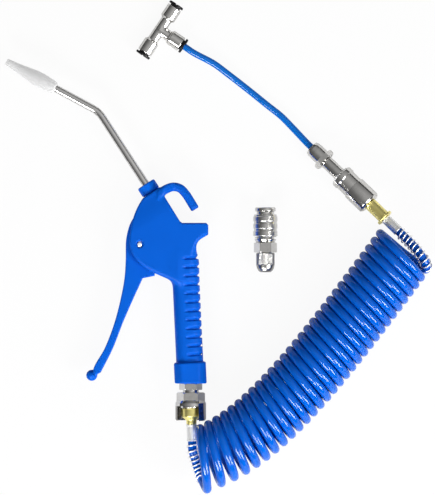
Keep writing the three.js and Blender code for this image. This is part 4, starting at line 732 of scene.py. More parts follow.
def housing_field(x, y, z):
    """Distances from the housing's surface: the head, the grip and the hook merged with fillets,
    grooves taken out of the grip's back, the collar added, and the slot and bores cut out."""
    head, up = outline_distance(x, y, head_outline)
    back, along = beside(x, y, COLLAR_AT, GRIP_HEADING)
    _, from_seat = beside(x, y, SEAT_AT, NOZZLE_HEADING)
    x_thin, y_thin = THIN_BY_GRIP
    thinned = rising(from_seat, *THIN_BY_SEAT) + rising(x, *x_thin) * rising(y, *y_thin)
    x_round, y_round = ROUND_BY_GRIP
    by_grip = rising(x, *x_round) * rising(y, *y_round)
    edge = HEAD_EDGE[0] + HEAD_EDGE[1] * np.clip(-up, 0, 1) + HEAD_EDGE[2] * by_grip
    form = thick(head, z, HEAD_HALF - HEAD_THINNED * thinned, edge)

    squares = (np.abs(v / half) ** GRIP_SQUARENESS for v, half in zip((back, z), GRIP_HALF))
    grip = (sum(squares) ** (1 / GRIP_SQUARENESS) - 1) * GRIP_HALF[1]
    grip = np.maximum(grip, GRIP_REACH[0] - along)
    form = merged(form, without(grip, GRIP_REACH[1] - along, GRIP_TOP_FILLET), GRIP_FILLET)

    hook, _ = outline_distance(x, y, hook_shape)
    root = (HOOK_ROOT_HALF - HOOK_HALF[1]) * rising(x, *HOOK_ROOT_TO) * rising(x, *HOOK_ROOT_FROM)
    hook = thick(hook - HOOK_CORNER, z, HOOK_HALF[1] + root, HOOK_EDGE)
    form = merged(form, hook, HOOK_FILLET)

    number = np.clip(np.round((along - RIB_FIRST) / RIB_PITCH), -1, RIB_COUNT - 1)
    past = along - (number * RIB_PITCH + RIB_FIRST)
    groove = eased_step(1 - np.where(past < 0, -past / RIB_WALLS[0], past / RIB_WALLS[1]))
    form = form + RIB_DEPTH * groove * rising(back, *RIBS_ACROSS) * (x < RIBS_END)

    chamfer = (np.abs(back) + np.abs(z) - sum(COLLAR_HALF) + COLLAR_CHAMFER) * math.sqrt(0.5)
    sides = without(np.abs(back) - COLLAR_HALF[0], COLLAR_HALF[1] - np.abs(z), COLLAR_ROUNDING[0])
    collar = thick(without(sides, -chamfer, COLLAR_ROUNDING[1]), along, COLLAR_LENGTH, COLLAR_EDGE)
    form = merged(form, collar, COLLAR_FILLET)
    form = without(form, y - COLLAR_AT[1] + 0 * z, COLLAR_END_FILLET)

    slot, _ = outline_distance(x, y, slot_outline)
    form = without(form, thick(slot, z, SLOT_HALF, SLOT_EDGE))
    spot = np.hypot(x, y)
    recess = np.maximum(spot - PIN_RECESS[0], PIN_RECESS[1] - np.abs(z))
    for cut in (np.minimum(spot - PIN_HOLE, recess),
                bore(x, y, z, valve_at, VALVE_HEADING, VALVE_BORE),
                bore(x, y, z, SEAT_AT, NOZZLE_HEADING, SEAT_BORE),
                bore(x, y, z, COLLAR_AT, -90, NIPPLE_BORE)):
        form = without(form, cut, BORE_EDGE)
    return form


def moulded(name, field, low, high, step, at=(0, 0, 0)):
    """The surface on which a field of distances is zero. Each cell of a lattice that it crosses
    holds one point, at the mean of its crossings of the cell's edges, then moved down the field's
    slope onto it. Each crossed edge makes one face of the four cells round it."""
    axes = [np.arange(a, b + step, step) for a, b in zip(low, high)]
    never_zero = 1e-7
    value = field(*np.meshgrid(*axes, indexing="ij", sparse=True)) + never_zero
    stride = np.array([value.shape[1] * value.shape[2], value.shape[2], 1])
    cells, marks = [], []
    for axis in range(3):
        one, two = (axis + 1) % 3, (axis + 2) % 3
        turned_to = np.moveaxis(value, axis, 0)
        where = np.argwhere((turned_to[:-1] < 0) != (turned_to[1:] < 0))
        here, there = turned_to[:-1][tuple(where.T)], turned_to[1:][tuple(where.T)]
        place = np.insert(where[:, 1:], axis, where[:, 0], axis=1)
        mark = place.astype(float)
        mark[:, axis] += here / (here - there)
        first, second = place @ stride, place @ stride - stride[one]
        ring = np.stack([first, second, second - stride[two], first - stride[two]], 1)
        cells.append(np.where((here < 0)[:, None], ring, ring[:, ::-1]))
        marks.append(mark)
    cells, marks = np.concatenate(cells), np.concatenate(marks)
    _, faces, count = np.unique(cells, return_inverse=True, return_counts=True)
    faces = faces.reshape(cells.shape)
    sums = [np.bincount(faces.ravel(), np.repeat(marks[:, axis], 4)) for axis in range(3)]
    points = np.stack(sums, 1) / count[:, None] * step + np.array(low)
    for _ in range(2):
        slope = np.stack([field(*(points + nudge).T) - field(*(points - nudge).T)
                          for nudge in np.eye(3) * step / 4], 1) / (step / 2)
        steepness = np.einsum("ij,ij->i", slope, slope) + 0.05  # more than zero also in a hollow
        move = (field(*points.T) / steepness)[:, None] * slope
        points = points - np.clip(move, -step / 3, step / 3)
    mesh = bpy.data.meshes.new(name)
    mesh.from_pydata((points + at) * MM + layout, [], faces)
    mesh.polygons.foreach_set("use_smooth", [True] * len(mesh.polygons))
    return mesh


NYLON_SHEEN = 0.06
NYLON_SMOOTHEST = 0.3  # its roughness where it is smoothest
NYLON_GRAIN = 2.6
NYLON_GRAIN_DEPTH = 0.03


def moulded_blue(name, deep, pale):
    """Moulded nylon: a satin skin with the fine grain of the eroded mould, cloudy in its sheen."""
    material, shader, place = new_finish(name, deep, 0.42, Specular_IOR_Level=NYLON_SHEEN)
    grain = relief(clouds(place, NYLON_GRAIN, 3.0, 0.6), NYLON_GRAIN_DEPTH, 0.35)
    feed(shader, Base_Color=blend(clouds(place, 0.06), deep, pale),
         Roughness=clouds(place, 0.15, 3.0) * 0.18 + NYLON_SMOOTHEST, Normal=grain)
    return material


hook_shape = hook_outline()
blue = moulded_blue("moulded_blue", (0.001, 0.112, 0.65), (0.001, 0.124, 0.71))
housing_mesh = moulded("housing", housing_field, *HOUSING_BOX, HOUSING_STEP, GUN_AT)
piece(housing_mesh, blue, "set", "blue_moulding", "gun_housing")

# ---- The trigger and its pin ----
# The lever is moulded in the same nylon, with a ball at its end for the fingers. It turns on a
# steel pin pressed through both cheeks, and its pad pushes the valve's stem.

LEVER_FRONT = [(-4.8, 25.2), (-8.8, 18), (-12.2, 4.5), (-12.6, -14), (-13.6, -29.5), (-17, -48.5),
               (-23.2, -72), (-31.5, -93.5), (-41.6, -112), (-41, -118.4)]
LEVER_BACK = [(-35.2, -115.4), (-24.5, -94.2), (-15.2, -70.4), (-6, -49.3), (2.6, -30.6)]
LEVER_HALF = 7.7
LEVER_EDGE = 1.2
LEVER_BALL = (-43.3, -118)
LEVER_BALL_RADIUS = 5
LEVER_BALL_FILLET = 2
LEVER_BOX = ((-50, -125, -9), (17, 27, 9))
LEVER_STEP = 0.5
PIN_RADIUS = 2.2
PIN_HALF = 13.7
PIN_DOME = 0.6
PIN_SIDES = 48
ROUND_SIDES = 96  # of the other turned pieces


def level_curve(points):
    return smooth_route([(*point, 0) for point in points], SPAN_STEPS)[:, :2]


lever_outline = np.vstack([
    level_curve(LEVER_FRONT), level_curve(LEVER_BACK),
    [(13.4, -28.4), by_valve(0, 4.4), by_valve(0, -4), (6.4, 4), (-1.4, 11.6)],
])


def lever_field(x, y, z):
    """Distances from the lever's surface: a flat arm, a ball at its end, and the pin's hole."""
    arm = thick(outline_distance(x, y, lever_outline)[0], z, LEVER_HALF, LEVER_EDGE)
    ball = np.sqrt((x - LEVER_BALL[0]) ** 2 + (y - LEVER_BALL[1]) ** 2 + z**2) - LEVER_BALL_RADIUS
    form = merged(arm, ball, LEVER_BALL_FILLET)
    return without(form, np.hypot(x, y) + 0 * z - PIN_HOLE, BORE_EDGE)


lever_mesh = moulded("lever", lever_field, *LEVER_BOX, LEVER_STEP, GUN_AT)
piece(lever_mesh, blue, "trigger", "blue_moulding", "trigger_lever")


def eased(corners, ease=0.25, steps=4):
    """A profile of corners (radius, height) with each corner rounded: near it the line is a
    parabola that touches both sides. One that starts on the axis ends there too, and any other
    closes on itself."""
    corners = np.array(corners, float)
    ends = []
    for shift in (1, -1):
        side = np.roll(corners, shift, 0) - corners
        length = np.linalg.norm(side, axis=1, keepdims=True) + 1e-9
        ends.append((corners + side * np.minimum(ease / length, 0.45))[:, None])
    t = np.linspace(0, 1, steps)[None, :, None]
    line = (1 - t) ** 2 * ends[0] + 2 * t * (1 - t) * corners[:, None] + t**2 * ends[1]
    if corners[0, 0] == 0:
        line[0], line[-1] = corners[0], corners[-1]
    return line.reshape(-1, 2)


def turned(frame_of, profile, flats=(), shape=None, sides=ROUND_SIDES):
    """A profile turned about the Z of a frame. Between two heights that belong to a pair of flats
    the radius is no more than half the width across them over the cosine of the angle from the
    middle of a flat, nor less than a line between two radii. A shape may change the rest."""
    turn = np.linspace(0, 2 * math.pi, sides, endpoint=False)[None, :]
    radius, height = (profile[:, axis, None] + 0 * turn for axis in (0, 1))
    for low, high, across, least in flats:
        limit = across / 2 / np.cos(np.mod(turn, math.pi / 3) - math.pi / 6)
        limit = np.maximum(limit, np.interp(height, (low, high), least))
        radius = np.where((height >= low) & (height <= high), np.minimum(radius, limit), radius)
    if shape:
        radius = shape(radius, turn, height)
    points = within(frame_of, np.stack([radius * np.cos(turn), radius * np.sin(turn), height], -1))
    along = length_of(profile)[:, None] + 0 * turn
    return points, np.stack([np.cos(turn) + 0 * along, np.sin(turn) + 0 * along, along], -1)


pin_profile = eased([(0, -PIN_HALF), (PIN_RADIUS - PIN_DOME, -PIN_HALF),
                     (PIN_RADIUS, PIN_DOME - PIN_HALF), (PIN_RADIUS, PIN_HALF - PIN_DOME),
                     (PIN_RADIUS - PIN_DOME, PIN_HALF), (0, PIN_HALF)], 0.5)
pin_mesh = mesh_of("pin", [turned(gun_frame, pin_profile, sides=PIN_SIDES)])
piece(pin_mesh, steel, "set", "steel", "trigger_pin")

# ---- The nozzle ----
# A bent steel tube held in the head by a blue nut, with a moulded tip pushed over its end. The
# tip is milky polyethylene, thick enough to look white, and it is given a painted glow.

NUT_PROFILE = [(3.75, -7), (5.2, -7), (5.2, 0.3), (7.8, 0.3), (8.7, 1.2), (8.7, 8.5), (7.8, 9.4),
               (3.75, 9.4)]
NOZZLE_OUTSIDE = 3.45
NOZZLE_INSIDE = 2.3
NOZZLE_START = -7
NOZZLE_BEND_FROM = 80.882
NOZZLE_BEND_RADIUS = 24
NOZZLE_BEND = 28.6
NOZZLE_SECOND_RUN = 38.482  # from the bend to the tip
NOZZLE_IN_TIP = 11.7
NOZZLE_STEPS = 16
NOZZLE_SIDES = 48
TIP_PROFILE = [(3.75, 0), (5, 0), (5.9, 4), (6.7, 14), (6.5, 21), (4.2, 37.15), (3.1, 50.2),
               (1.5, 50.2), (1.5, 12), (3.75, 12)]
TIP_TONES = ((0.41, 0.41, 0.41), (0.45, 0.45, 0.45))  # as it was moulded, and where it is worn
TIP_DEPTH = 6  # how far light goes in
TIP_PAINTED_GLOW = 0.34  # a painted glow: even white light that the tip gives off, though it is no lamp

seat_frame = frame_along(within(gun_frame, (*SEAT_AT, 0)), NOZZLE_HEADING)
# The nut is the housing's blue nylon. Its paler blue is painted light, for light that its faces
# lack.
nut_blue_painted_light = moulded_blue("nut_blue_painted_light", (0.001, 0.15, 0.85), (0.001, 0.165, 0.92))
nut_mesh = mesh_of("nut", [turned(seat_frame, eased(NUT_PROFILE, 0.4))])
piece(nut_mesh, nut_blue_painted_light, "set", "blue_moulding", "nozzle_nut")


def nozzle_route(length):
    """The middle of the nozzle: straight from the seat, an arc to the left, and straight again."""
    lean = math.radians(NOZZLE_BEND)
    turn = np.linspace(0, lean, NOZZLE_STEPS)[:, None]
    arc = np.hstack([NOZZLE_BEND_RADIUS * (np.cos(turn) - 1), 0 * turn,
                     NOZZLE_BEND_FROM + NOZZLE_BEND_RADIUS * np.sin(turn)])
    share = np.linspace(0, 1, NOZZLE_STEPS, endpoint=False)[:, None]
    first = share * (NOZZLE_BEND_FROM - NOZZLE_START) + NOZZLE_START
    run = np.linspace(0, length, NOZZLE_STEPS)[1:, None]
    second = arc[-1] + run * np.array([-math.sin(lean), 0, math.cos(lean)])
    return np.vstack([first * np.array([0, 0, 1]), arc, second])


def pipe_grid(route, outside, inside, sides):
    """A tube with a bore: rings of its outside along a route, then rings of its bore back again."""
    outer, pattern = (part[1:-1] for part in tube_grid(route, outside, sides))
    inner = tube_grid(route, inside, sides)[0][1:-1]
    return np.concatenate([outer, inner[::-1]]), np.concatenate([pattern, pattern[::-1]])


bright_tube = metal_finish("bright_tube", (0.76, 0.75, 0.74), (0.66, 0.65, 0.64), 0.14)
nozzle_line = within(seat_frame, nozzle_route(NOZZLE_SECOND_RUN + NOZZLE_IN_TIP))
nozzle_grid = pipe_grid(nozzle_line, NOZZLE_OUTSIDE, NOZZLE_INSIDE, NOZZLE_SIDES)
piece(mesh_of("nozzle", [nozzle_grid]), bright_tube, "set", "steel", "nozzle_tube")


def milky_glowing_finish():
    """Milky polyethylene: light goes a little way in, and its skin is worn to a soft sheen. It also
    gives off a painted glow of even white light.
    """
    material, shader, place = new_finish(
        "milky_tip_painted_glow", TIP_TONES[0], 0.5, Specular_IOR_Level=0.15, Subsurface_Weight=1,
        Subsurface_Scale=TIP_DEPTH * MM, Subsurface_Radius=(1, 1, 1), Emission_Color=(1, 1, 1, 1),
        Emission_Strength=TIP_PAINTED_GLOW)
    wear = clouds(place, 0.5, 3.0)
    worn(shader, blend(wear, *TIP_TONES), wear, 0.5, wear, 0.05)
    return material


tip_start = within(seat_frame, nozzle_route(NOZZLE_SECOND_RUN)[-1])
tip_frame = (tip_start, tilted(seat_frame, 0, NOZZLE_BEND)[1])
tip_mesh = mesh_of("tip", [turned(tip_frame, eased(TIP_PROFILE, 1.2, 6))])
piece(tip_mesh, milky_glowing_finish(), "set", "tip_plastic", "nozzle_tip")

# ---- The coupler under the gun ----
# A hexagonal nipple screws into the grip, and a sleeve slides on the coupler's core. All three
# are brass bar turned and plated with nickel. One side of the sleeve is milled away, so that the
# bowl of the hose tail slips in from there.

AIRWAY = 2.6
NIPPLE_HEX = 18
SLEEVE_HEX = 22.2
SKIRT_RADIUS = 13.8
WINDOW = ((-7.2, 15.8), (-15.8, -1), (20.3, 35.7))  # across, downwards and along the sleeve
ROW = 0.25  # between the rings of a piece that has flats


def hexagon(across, low, high, chamfer):
    """Profile corners of a hexagonal bar between two heights, before its flats are cut."""
    corner = across / math.sqrt(3)
    return [(corner - chamfer, low), (corner + FIT, low + chamfer), (corner + FIT, high - chamfer),
            (corner - chamfer, high)]


def filled(profile, step=ROW):
    """A closed profile with points added, so that no stretch of it is longer than a step."""
    line = np.vstack([profile, profile[:1]])
    along = length_of(line)
    marks = np.union1d(along[:-1], np.arange(0, along[-1], step))
    return np.stack([np.interp(marks, along, line[:, axis]) for axis in (0, 1)], 1)


def carved(mesh, cutter):
    """A mesh less another: both are closed, and the cut leaves their common edge sharp."""
    whole, tool = (bpy.data.objects.new(data.name, data) for data in (mesh, cutter))
    for used in (whole, tool):
        scene.collection.objects.link(used)
    cut = whole.modifiers.new("cut", "BOOLEAN")
    cut.operation, cut.solver, cut.object = "DIFFERENCE", "MANIFOLD", tool
    graph = bpy.context.evaluated_depsgraph_get()
    made = bpy.data.meshes.new_from_object(whole.evaluated_get(graph))
    for used in (whole, tool):
        bpy.data.objects.remove(used)
    return welded(made)


def block_in(frame_of, spans):
    """A plain block in a frame, between two places along each of its axes."""
    (x0, x1), (y0, y1), (z0, z1) = spans
    ring = np.array([(x0, y0), (x1, y0), (x1, y1), (x0, y1)], float)
    middle = np.broadcast_to(ring.mean(0), ring.shape)
    rows = [np.column_stack([row, np.full(4, z)])
            for row, z in ((middle, z0), (ring, z0), (ring, z1), (middle, z1))]
    return within(frame_of, np.stack(rows)), np.zeros((4, 4, 3))


nickel = metal_finish("bright_nickel", (0.74, 0.73, 0.71), (0.6, 0.59, 0.57), 0.14)
brass = metal_finish("turned_brass", (1, 0.9, 0.36), (0.92, 0.8, 0.28), 0.32)

nipple_profile = eased([(AIRWAY, -13), (5.2, -13), (5.2, 0.3), *hexagon(NIPPLE_HEX, 0.3, 5.9, 0.6),
                        (7.1, 5.9), (7.1, 8.3), (5.2, 8.3), (5.2, 15.3), (AIRWAY, 15.3)], 0.15)
nipple_grid = turned(gun_coupler_frame, filled(nipple_profile), [(0.2, 6, NIPPLE_HEX, (0, 0))])
piece(mesh_of("nipple", [nipple_grid]), nickel, "set", "nickel", "inlet_nipple")

core_profile = eased([(5.5, 8.6), (7.2, 8.6), (7.2, 17.4), (10, 17.4), (10, 22), (5.3, 22),
                      (5.3, 16.6), (AIRWAY, 16.6), (AIRWAY, 15.6), (5.5, 15.6)])
core_mesh = mesh_of("core", [turned(gun_coupler_frame, core_profile)])
piece(core_mesh, nickel, "set", "nickel", "gun_coupler_body")

# The sleeve's flats run out in a slope up to the round skirt.
sleeve_profile = eased([(7.5, 8.3), *hexagon(SLEEVE_HEX, 8.3, 17, 1)[:3], (SKIRT_RADIUS, 17.7),
                        (SKIRT_RADIUS, 32.3), (12.6, 33.7), (12.1, 33.7), (12.1, 18.7),
                        (10.3, 18.7), (10.3, 9.9), (7.5, 9.9)], 0.2)
sleeve_flats = [(8.2, 15.2, SLEEVE_HEX, (0, 0)), (15.2, 17.7, SLEEVE_HEX, (12.2, SKIRT_RADIUS))]
sleeve_mesh = mesh_of("sleeve", [turned(gun_coupler_frame, filled(sleeve_profile), sleeve_flats)])
sleeve_mesh = carved(sleeve_mesh, mesh_of("window", [block_in(gun_coupler_frame, WINDOW)]))
piece(sleeve_mesh, nickel, "gun_sleeve", "nickel", "gun_coupler_sleeve")

# ---- Hose tails and ferrules ----
# Each tail is turned from brass bar and left bare. Its barb goes into the hose, and a steel
# ferrule is crimped over both by jaws that leave fine ridges along it.

GUN_TAIL_PROFILE = [(1.6, 0), (4.2, 0), (5, 0.8), (5, 4.2), (8.25, 4.2), (8.25, 11.6), (4.6, 15),
                    (4.6, 18.3), (2.6, 18.3), (2.6, 32.3), (1.6, 32.3)]
SUPPLY_TAIL_PROFILE = [(1.6, 2.4), (2.6, 2.4), (2.6, 16.4), (7.8, 16.4), (7.8, 18.4), (5.85, 18.4),
                       (5.85, 35.6), (4.6, 35.6), (4.6, 41.6), (1.6, 41.6)]
SUPPLY_FERRULE = (0, 16.1)
FERRULE_RADII = (2.9, 4.7)
FERRULE_ROWS = 61
FERRULE_END = (0.25, 0.3)  # how much its ends are rounded, and over what length
FERRULE_PRESSED = (0.12, 1, 0.6)  # how deep, how far from its ends, and over what length
FERRULE_RIDGES = 14
RIDGE_DEPTH = 0.12


def ferrule_profile(low, high):
    """A short tube whose outside draws in a little between its ends, where the jaws pressed it."""
    height = np.linspace(low, high, FERRULE_ROWS)
    from_end = np.minimum(height - low, high - height)
    inside, outside = FERRULE_RADII
    depth, start, run = FERRULE_PRESSED
    rounded, end = FERRULE_END
    radius = outside - depth * rising(from_end, start, run)
    radius = radius - rounded * (1 - rising(from_end, 0, end))
    return np.vstack([np.stack([radius, height], 1), [(inside, high), (inside, low)]])


def ridged(radius, turn, height):
    """The marks of the jaws' many faces: a wave of the angle on the outside."""
    wave = 0.5 - 0.5 * np.cos(FERRULE_RIDGES * turn)
    return np.where(radius > np.mean(FERRULE_RADII), radius - RIDGE_DEPTH * wave, radius)


for name, frame_of, span, profile in (
    ("gun", gun_plug_frame, GUN_FERRULE, GUN_TAIL_PROFILE),
    ("supply", supply_frame, SUPPLY_FERRULE, SUPPLY_TAIL_PROFILE),
):
    tail = mesh_of(name + "_tail", [turned(frame_of, eased(profile, 0.3))])
    piece(tail, brass, "set", "brass", name + "_hose_tail")
    crimp = mesh_of(name + "_crimp", [turned(frame_of, ferrule_profile(*span), (), ridged)])
    piece(crimp, steel, "set", "steel", name + "_ferrule")

# ---- The supply coupler and its plug ----
# A plated body with a thin rolled shell, a sleeve that slides back on it to let the plug go, and
# a plug whose far end is a compression fitting: its hexagonal nut squeezes an olive on the tube.

COUPLER_PROFILE = [(4.9, 35.9), (9.65, 35.9), (11.25, 37.5), (11.25, 56.5), (10.55, 56.5),
                   (10.55, 40.9), (8, 40.9), (8, 74.1), (6.3, 74.1), (6.3, 53.1), (3.7, 53.1),
                   (3.7, 41.9), (4.9, 41.9)]
SUPPLY_SLEEVE_PROFILE = [(8.3, 49.7), (10.25, 49.7), (10.25, 66.9), (11, 67.5), (11, 71.9),
                         (10.2, 72.7), (9.3, 72.7), (9.3, 70.9), (8.3, 70.9)]
CLIP_PROFILE = [(8.3, 72.9), (9.1, 72.9), (9.1, 73.7), (8.3, 73.7)]
PLUG_PROFILE = [(2.6, 54.9), (4.95, 54.9), (5.95, 55.9), (5.95, 91.3), (5.2, 91.3), (5.2, 99.3),
                (2.6, 99.3)]
COMPRESSION_HEX = 18

for name, profile, finish, body, slot, node in (
    ("coupler", COUPLER_PROFILE, nickel, "set", "nickel", "supply_coupler_body"),
    ("supply_sleeve_shell", SUPPLY_SLEEVE_PROFILE, nickel, "supply_sleeve", "nickel",
     "supply_coupler_sleeve"),
    ("clip", CLIP_PROFILE, steel, "set", "steel", "supply_coupler_clip"),
    ("plug", PLUG_PROFILE, nickel, "set", "nickel", "supply_plug"),
):
    piece(mesh_of(name, [turned(supply_frame, eased(profile, 0.3))]), finish, body, slot, node)

compression_profile = eased([(5.5, 91.6), *hexagon(COMPRESSION_HEX, 91.6, 96.2, 0.8), (7.5, 96.2),
                             (7.5, 103.6), (7.2, 107.2), (6.3, NUT_END), (3.45, NUT_END),
                             (3.45, 102.8), (5.5, 102.8)], 0.3)
compression_flats = [(91.5, 96.3, COMPRESSION_HEX, (0, 0))]
compression_grid = turned(supply_frame, filled(compression_profile), compression_flats)
piece(mesh_of("compression", [compression_grid]), nickel, "set", "nickel", "compression_nut")

# ---- The tee ----
# A forged brass body, turned at its three barrels and plated. Each barrel has a seal inside and
# a black collet, which grips the tube and lets it go when its rim is pushed in.

TEE_FILLET = 1.8
TEE_BARREL = (6.9, 12.8)  # radius and length
TEE_BARREL_HALF = 10  # of the form that makes it, which the shoulder cuts off
TEE_WAIST = 4.9
TEE_WAIST_IN = 3  # how far the waist reaches into a barrel
TEE_SHOULDER = 1.4
TEE_SHOULDER_FILLET = 0.6
TEE_EDGE = 0.5
TEE_CUT_EDGE = 0.3
TEE_SOCKET = (5.4, 12)
TEE_BOX = ((-25, -29, -8), (29, 29, 8))
TEE_STEP = 0.4
TEE_HEADINGS = (TEE_HEADING, TEE_HEADING + 180, TEE_HEADING - 90)
TEE_LENGTHS = (24.4, 24.4, 23.4)


def tee_field(x, y, z):
    """Distances from the tee's surface: for each port a waist, and a barrel with a sloping
    shoulder, merged with fillets, less a socket and an airway."""
    forms, cuts = [], []
    for heading, length in zip(TEE_HEADINGS, TEE_LENGTHS):
        right, along = beside(x, y, (0, 0), heading)
        radius = np.hypot(right, z)
        start = length - TEE_BARREL[1]
        shoulder = (radius - TEE_BARREL[0] + start + TEE_SHOULDER - along) * math.sqrt(0.5)
        barrel = thick(radius - TEE_BARREL[0], along - length + TEE_BARREL_HALF, TEE_BARREL_HALF,
                       TEE_EDGE)
        waist = np.maximum(radius - TEE_WAIST, np.maximum(-along, along - start - TEE_WAIST_IN))
        forms.append(merged(np.maximum(barrel, shoulder), waist, TEE_SHOULDER_FILLET))
        cuts.append(np.maximum(radius - AIRWAY, -along))
        cuts.append(np.maximum(radius - TEE_SOCKET[0], length - TEE_SOCKET[1] - along))
    form = merged(merged(forms[0], forms[1], TEE_FILLET), forms[2], TEE_FILLET)
    for cut in cuts:
        form = without(form, cut, TEE_CUT_EDGE)
    return form


tee_mesh = moulded("tee", tee_field, *TEE_BOX, TEE_STEP, TEE_AT)
piece(tee_mesh, nickel, "set", "nickel", "tee_body")

COLLET_NOTCHES = 4
NOTCH_DEPTH = 0.7
NOTCH_WIDTH = (0.75, 0.2)  # where a notch starts on the wave, and what its side takes of it
RIM_FACE = (2.4, 1)  # where the notches start beyond the tee, and what their depth takes


def collet_grid(frame_of, length):
    """A collet: a sleeve with a wider rim, whose end face has notches where the radius changes
    with the angle as a wave that is cut off."""
    profile = [(3.45, length - 7.5), (4.9, length - 7.5), (4.9, length + 1.4), (7.1, length + 1.4),
               (7.1, length + 3), (6.7, length + 3.5), (3.45, length + 3.5)]
    points, pattern = turned(frame_of, filled(eased(profile, 0.3)))
    at, axes = frame_of
    local = (points - at) @ axes.T
    wave = np.cos(COLLET_NOTCHES * np.arctan2(local[..., 1], local[..., 0]))
    at_face = rising(local[..., 2] - length, *RIM_FACE)
    local[..., 2] -= NOTCH_DEPTH * rising(wave, *NOTCH_WIDTH) * at_face
    return within(frame_of, local), pattern


BLOOM = 2.2  # how many times paler the bloom is


def black_finish(name, colour, roughness):
    """Black plastic or rubber: a fine grain, and a grey bloom where it has been handled."""
    material, shader, place = new_finish(name, colour, roughness, Specular_IOR_Level=0.15)
    bloom = clouds(place, 0.8, 3.0)
    pale = tuple(BLOOM * level for level in colour)
    worn(shader, blend(bloom, colour, pale), bloom, roughness, clouds(place, 6.0, 2.0))
    return material


collet_black = black_finish("collet_black", (0.006, 0.006, 0.007), 0.4)
for port, heading, length in zip(("upper", "lower", "branch"), TEE_HEADINGS, TEE_LENGTHS):
    collet = mesh_of("collet_" + port, [collet_grid(frame_along(TEE_AT, heading), length)])
    piece(collet, collet_black, port + "_collet", "collet_plastic", "tee_collet_" + port)

# ---- The spare coupler ----
# A plated body whose knurled sleeve slides back under a thumb, with a hexagon for the spanner
# and a knurled nut that clamps a hose on its barb. It lies by itself on the table.

SPARE_AT = (43.2, 35.8, 11)
SPARE_BODY = [(5.4, 0), (8.4, 0), (9.2, 0.8), (9.2, 3.4), (7.9, 4), (7.9, 28.4), (9.7, 28.5),
              (9.8, 29), (8.3, 31.8)]
SPARE_HEX = 18
SPARE_TAIL = [(5.6, 40.8), (5.6, 46.8), (2.6, 46.8), (2.6, 56.8), (1.6, 56.8), (1.6, 27.3),
              (3.9, 27.3), (3.9, 15), (5.4, 15)]
SPARE_BANDS = (8, 14.6, 21.2)
BAND_WIDTH = 4.8
BAND_RADII = (10.3, 10.8)
BAND_EDGE = 0.4
SPARE_NUT_START = [(4.3, 47.1), (5.9, 47.1), (5.9, 41.1), (7.75, 41.1), (8.35, 41.7)]
SPARE_NUT_END = [(8.35, 51.9), (7.65, 54.9), (6.25, 57.3), (4.75, 58.5), (4.3, 58.5)]
KNURL_SIDES = 288
KNURL_ROW = 0.2
GROOVE_SLOPE = 1.8  # how steep a groove's sides are: 1 leaves no flat between two grooves
BAND_KNURL = {"count": 56, "pitch": 1.2, "surface": 10.45, "depth": 0.12}
NUT_KNURL = {"count": 31, "pitch": 1.7, "surface": 8, "depth": 0.3}
NUT_KNURL_SPAN = (41.7, 52.2)


def knurled(spans, count, pitch, surface, depth):
    """Diamonds pressed into a surface between pairs of heights: two sets of grooves wind round it
    in opposite ways, and a point lies as deep as the nearer groove makes it."""

    def shape(radius, turn, height):
        around, along = count * turn / (2 * math.pi), height / pitch
        ridges = [np.abs(2 * np.mod(phase, 1) - 1) for phase in (around + along, around - along)]
        rise = np.minimum(1, GROOVE_SLOPE * np.minimum(*ridges))
        inside = sum(rising(np.minimum(height - low, high - height), 0, BAND_EDGE)
                     for low, high in spans)
        return np.where(radius > surface, radius - depth * (1 - rise) * inside, radius)

    return shape


# The knurled nut is plated like the body, but its nickel is much darker: painted shade, standing in
# for the shade in and between the knurls.
knurled_nickel_painted_shade = metal_finish("knurled_nickel_painted_shade", (0.46, 0.45, 0.44), (0.3, 0.3, 0.29), 0.24)
spare_frame = frame_along(SPARE_AT, -90)
spare_profile = eased([*SPARE_BODY, *hexagon(SPARE_HEX, 31.8, 40.8, 0.9), *SPARE_TAIL], 0.2)
spare_grid = turned(spare_frame, filled(spare_profile), [(31.85, 40.9, SPARE_HEX, (0, 0))])
piece(mesh_of("spare_body", [spare_grid]), nickel, "set", "nickel", "spare_coupler_body")

foot, top = BAND_RADII
bands = [corner for low in SPARE_BANDS
         for corner in ((foot, low), (top, low + BAND_EDGE), (top, low + (BAND_WIDTH - BAND_EDGE)),
                        (foot, low + BAND_WIDTH))]
spare_sleeve_profile = eased([(8.2, 6.4), (10, 6.4), (foot, 6.9), *bands, (foot, 26.1), (10, 26.1),
                              (10, 19.4), (8.2, 19.4)], 0.15)
spare_nut_profile = eased([*SPARE_NUT_START, *SPARE_NUT_END], 0.3)
band_spans = [(low, low + BAND_WIDTH) for low in SPARE_BANDS]
spare_shell, spare_nut = (
    mesh_of(name, [turned(spare_frame, filled(profile, KNURL_ROW), (), shape, KNURL_SIDES)])
    for name, profile, shape in (
        ("spare_shell", spare_sleeve_profile, knurled(band_spans, **BAND_KNURL)),
        ("spare_nut", spare_nut_profile, knurled([NUT_KNURL_SPAN], **NUT_KNURL)),
    )
)
piece(spare_shell, nickel, "spare_sleeve", "nickel", "spare_coupler_sleeve")
piece(spare_nut, knurled_nickel_painted_shade, "set", "nickel", "spare_hose_nut")

# ---- Springs, seals, poppets and other inner pieces ----
# They sit inside the others and keep the shapes of the CAD. Springs are steel, poppets and rings
# are brass, and seals are black nitrile rubber.


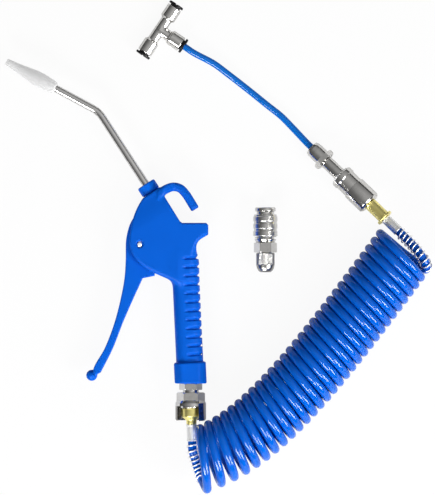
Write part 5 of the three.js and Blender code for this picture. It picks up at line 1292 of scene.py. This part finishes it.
def inner_metal(name, colour, dull, roughness):
    """Metal of a piece without a turned pattern: the marks run through the piece itself."""
    material, shader, place = new_finish(name, colour, roughness, Metallic=1.0)
    marks = clouds(place, 2.0, 3.0)
    worn(shader, blend(clouds(place, 0.5), colour, dull), marks, roughness, marks)
    return material


INNER = {
    inner_metal("spring_steel", (0.5, 0.5, 0.5), (0.38, 0.38, 0.38), 0.35): (
        "valve_spring", "gun_coupler_spring", "supply_coupler_spring", "supply_check_spring",
        "spare_coupler_spring", "spare_check_spring"),
    inner_metal("inner_brass", (0.7, 0.5, 0.14), (0.55, 0.4, 0.1), 0.3): (
        "valve_gland", "valve_seat", "valve_stem", "supply_check_poppet", "spare_check_poppet",
        "compression_olive"),
    black_finish("seal_rubber", (0.016, 0.016, 0.016), 0.65): (
        "stem_seal", "valve_washer", "nozzle_seal", "gun_coupler_seal", "supply_coupler_seal",
        "tee_seal_upper", "tee_seal_lower", "tee_seal_branch"),
}
for finish, names in INNER.items():
    for name in names:
        for place in frame["nodes"][name].material_slots:
            place.material = finish

# ---- The springs that give way ----
# Each is wound from spring steel and closes up when its sleeve, stem or poppet is pushed. Here
# each keeps the CAD's form, copied into a mesh of its own. The wire is the wound form itself.

PUSHED_BY = {"valve_stroke": "valve", "gun_sleeve_slide": "gun_sleeve",
             "supply_sleeve_slide": "supply_sleeve", "spare_sleeve_slide": "spare_sleeve",
             "spare_poppet_slide": "spare_poppet"}


def give_way(node):
    """A spring's solid copied into a mesh of its own, in place, standing in for the hidden CAD
    node. Its points are read, and nothing moves them."""
    solid = frame["nodes"][node]
    mesh = solid.data.copy()
    mesh.name = node + "_wire"
    mesh.transform(solid.matrix_world)
    made = bpy.data.objects.new(mesh.name, mesh)
    scene.collection.objects.link(made)
    points = np.empty(3 * len(mesh.vertices))
    mesh.vertices.foreach_get("co", points)
    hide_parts(node)
    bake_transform(made)


for joint in frame["record"]["behaviour"]["joints"]:
    if joint["name"] in PUSHED_BY:
        spring = joint["deforming_nodes"][0]["node"]
        give_way(spring)
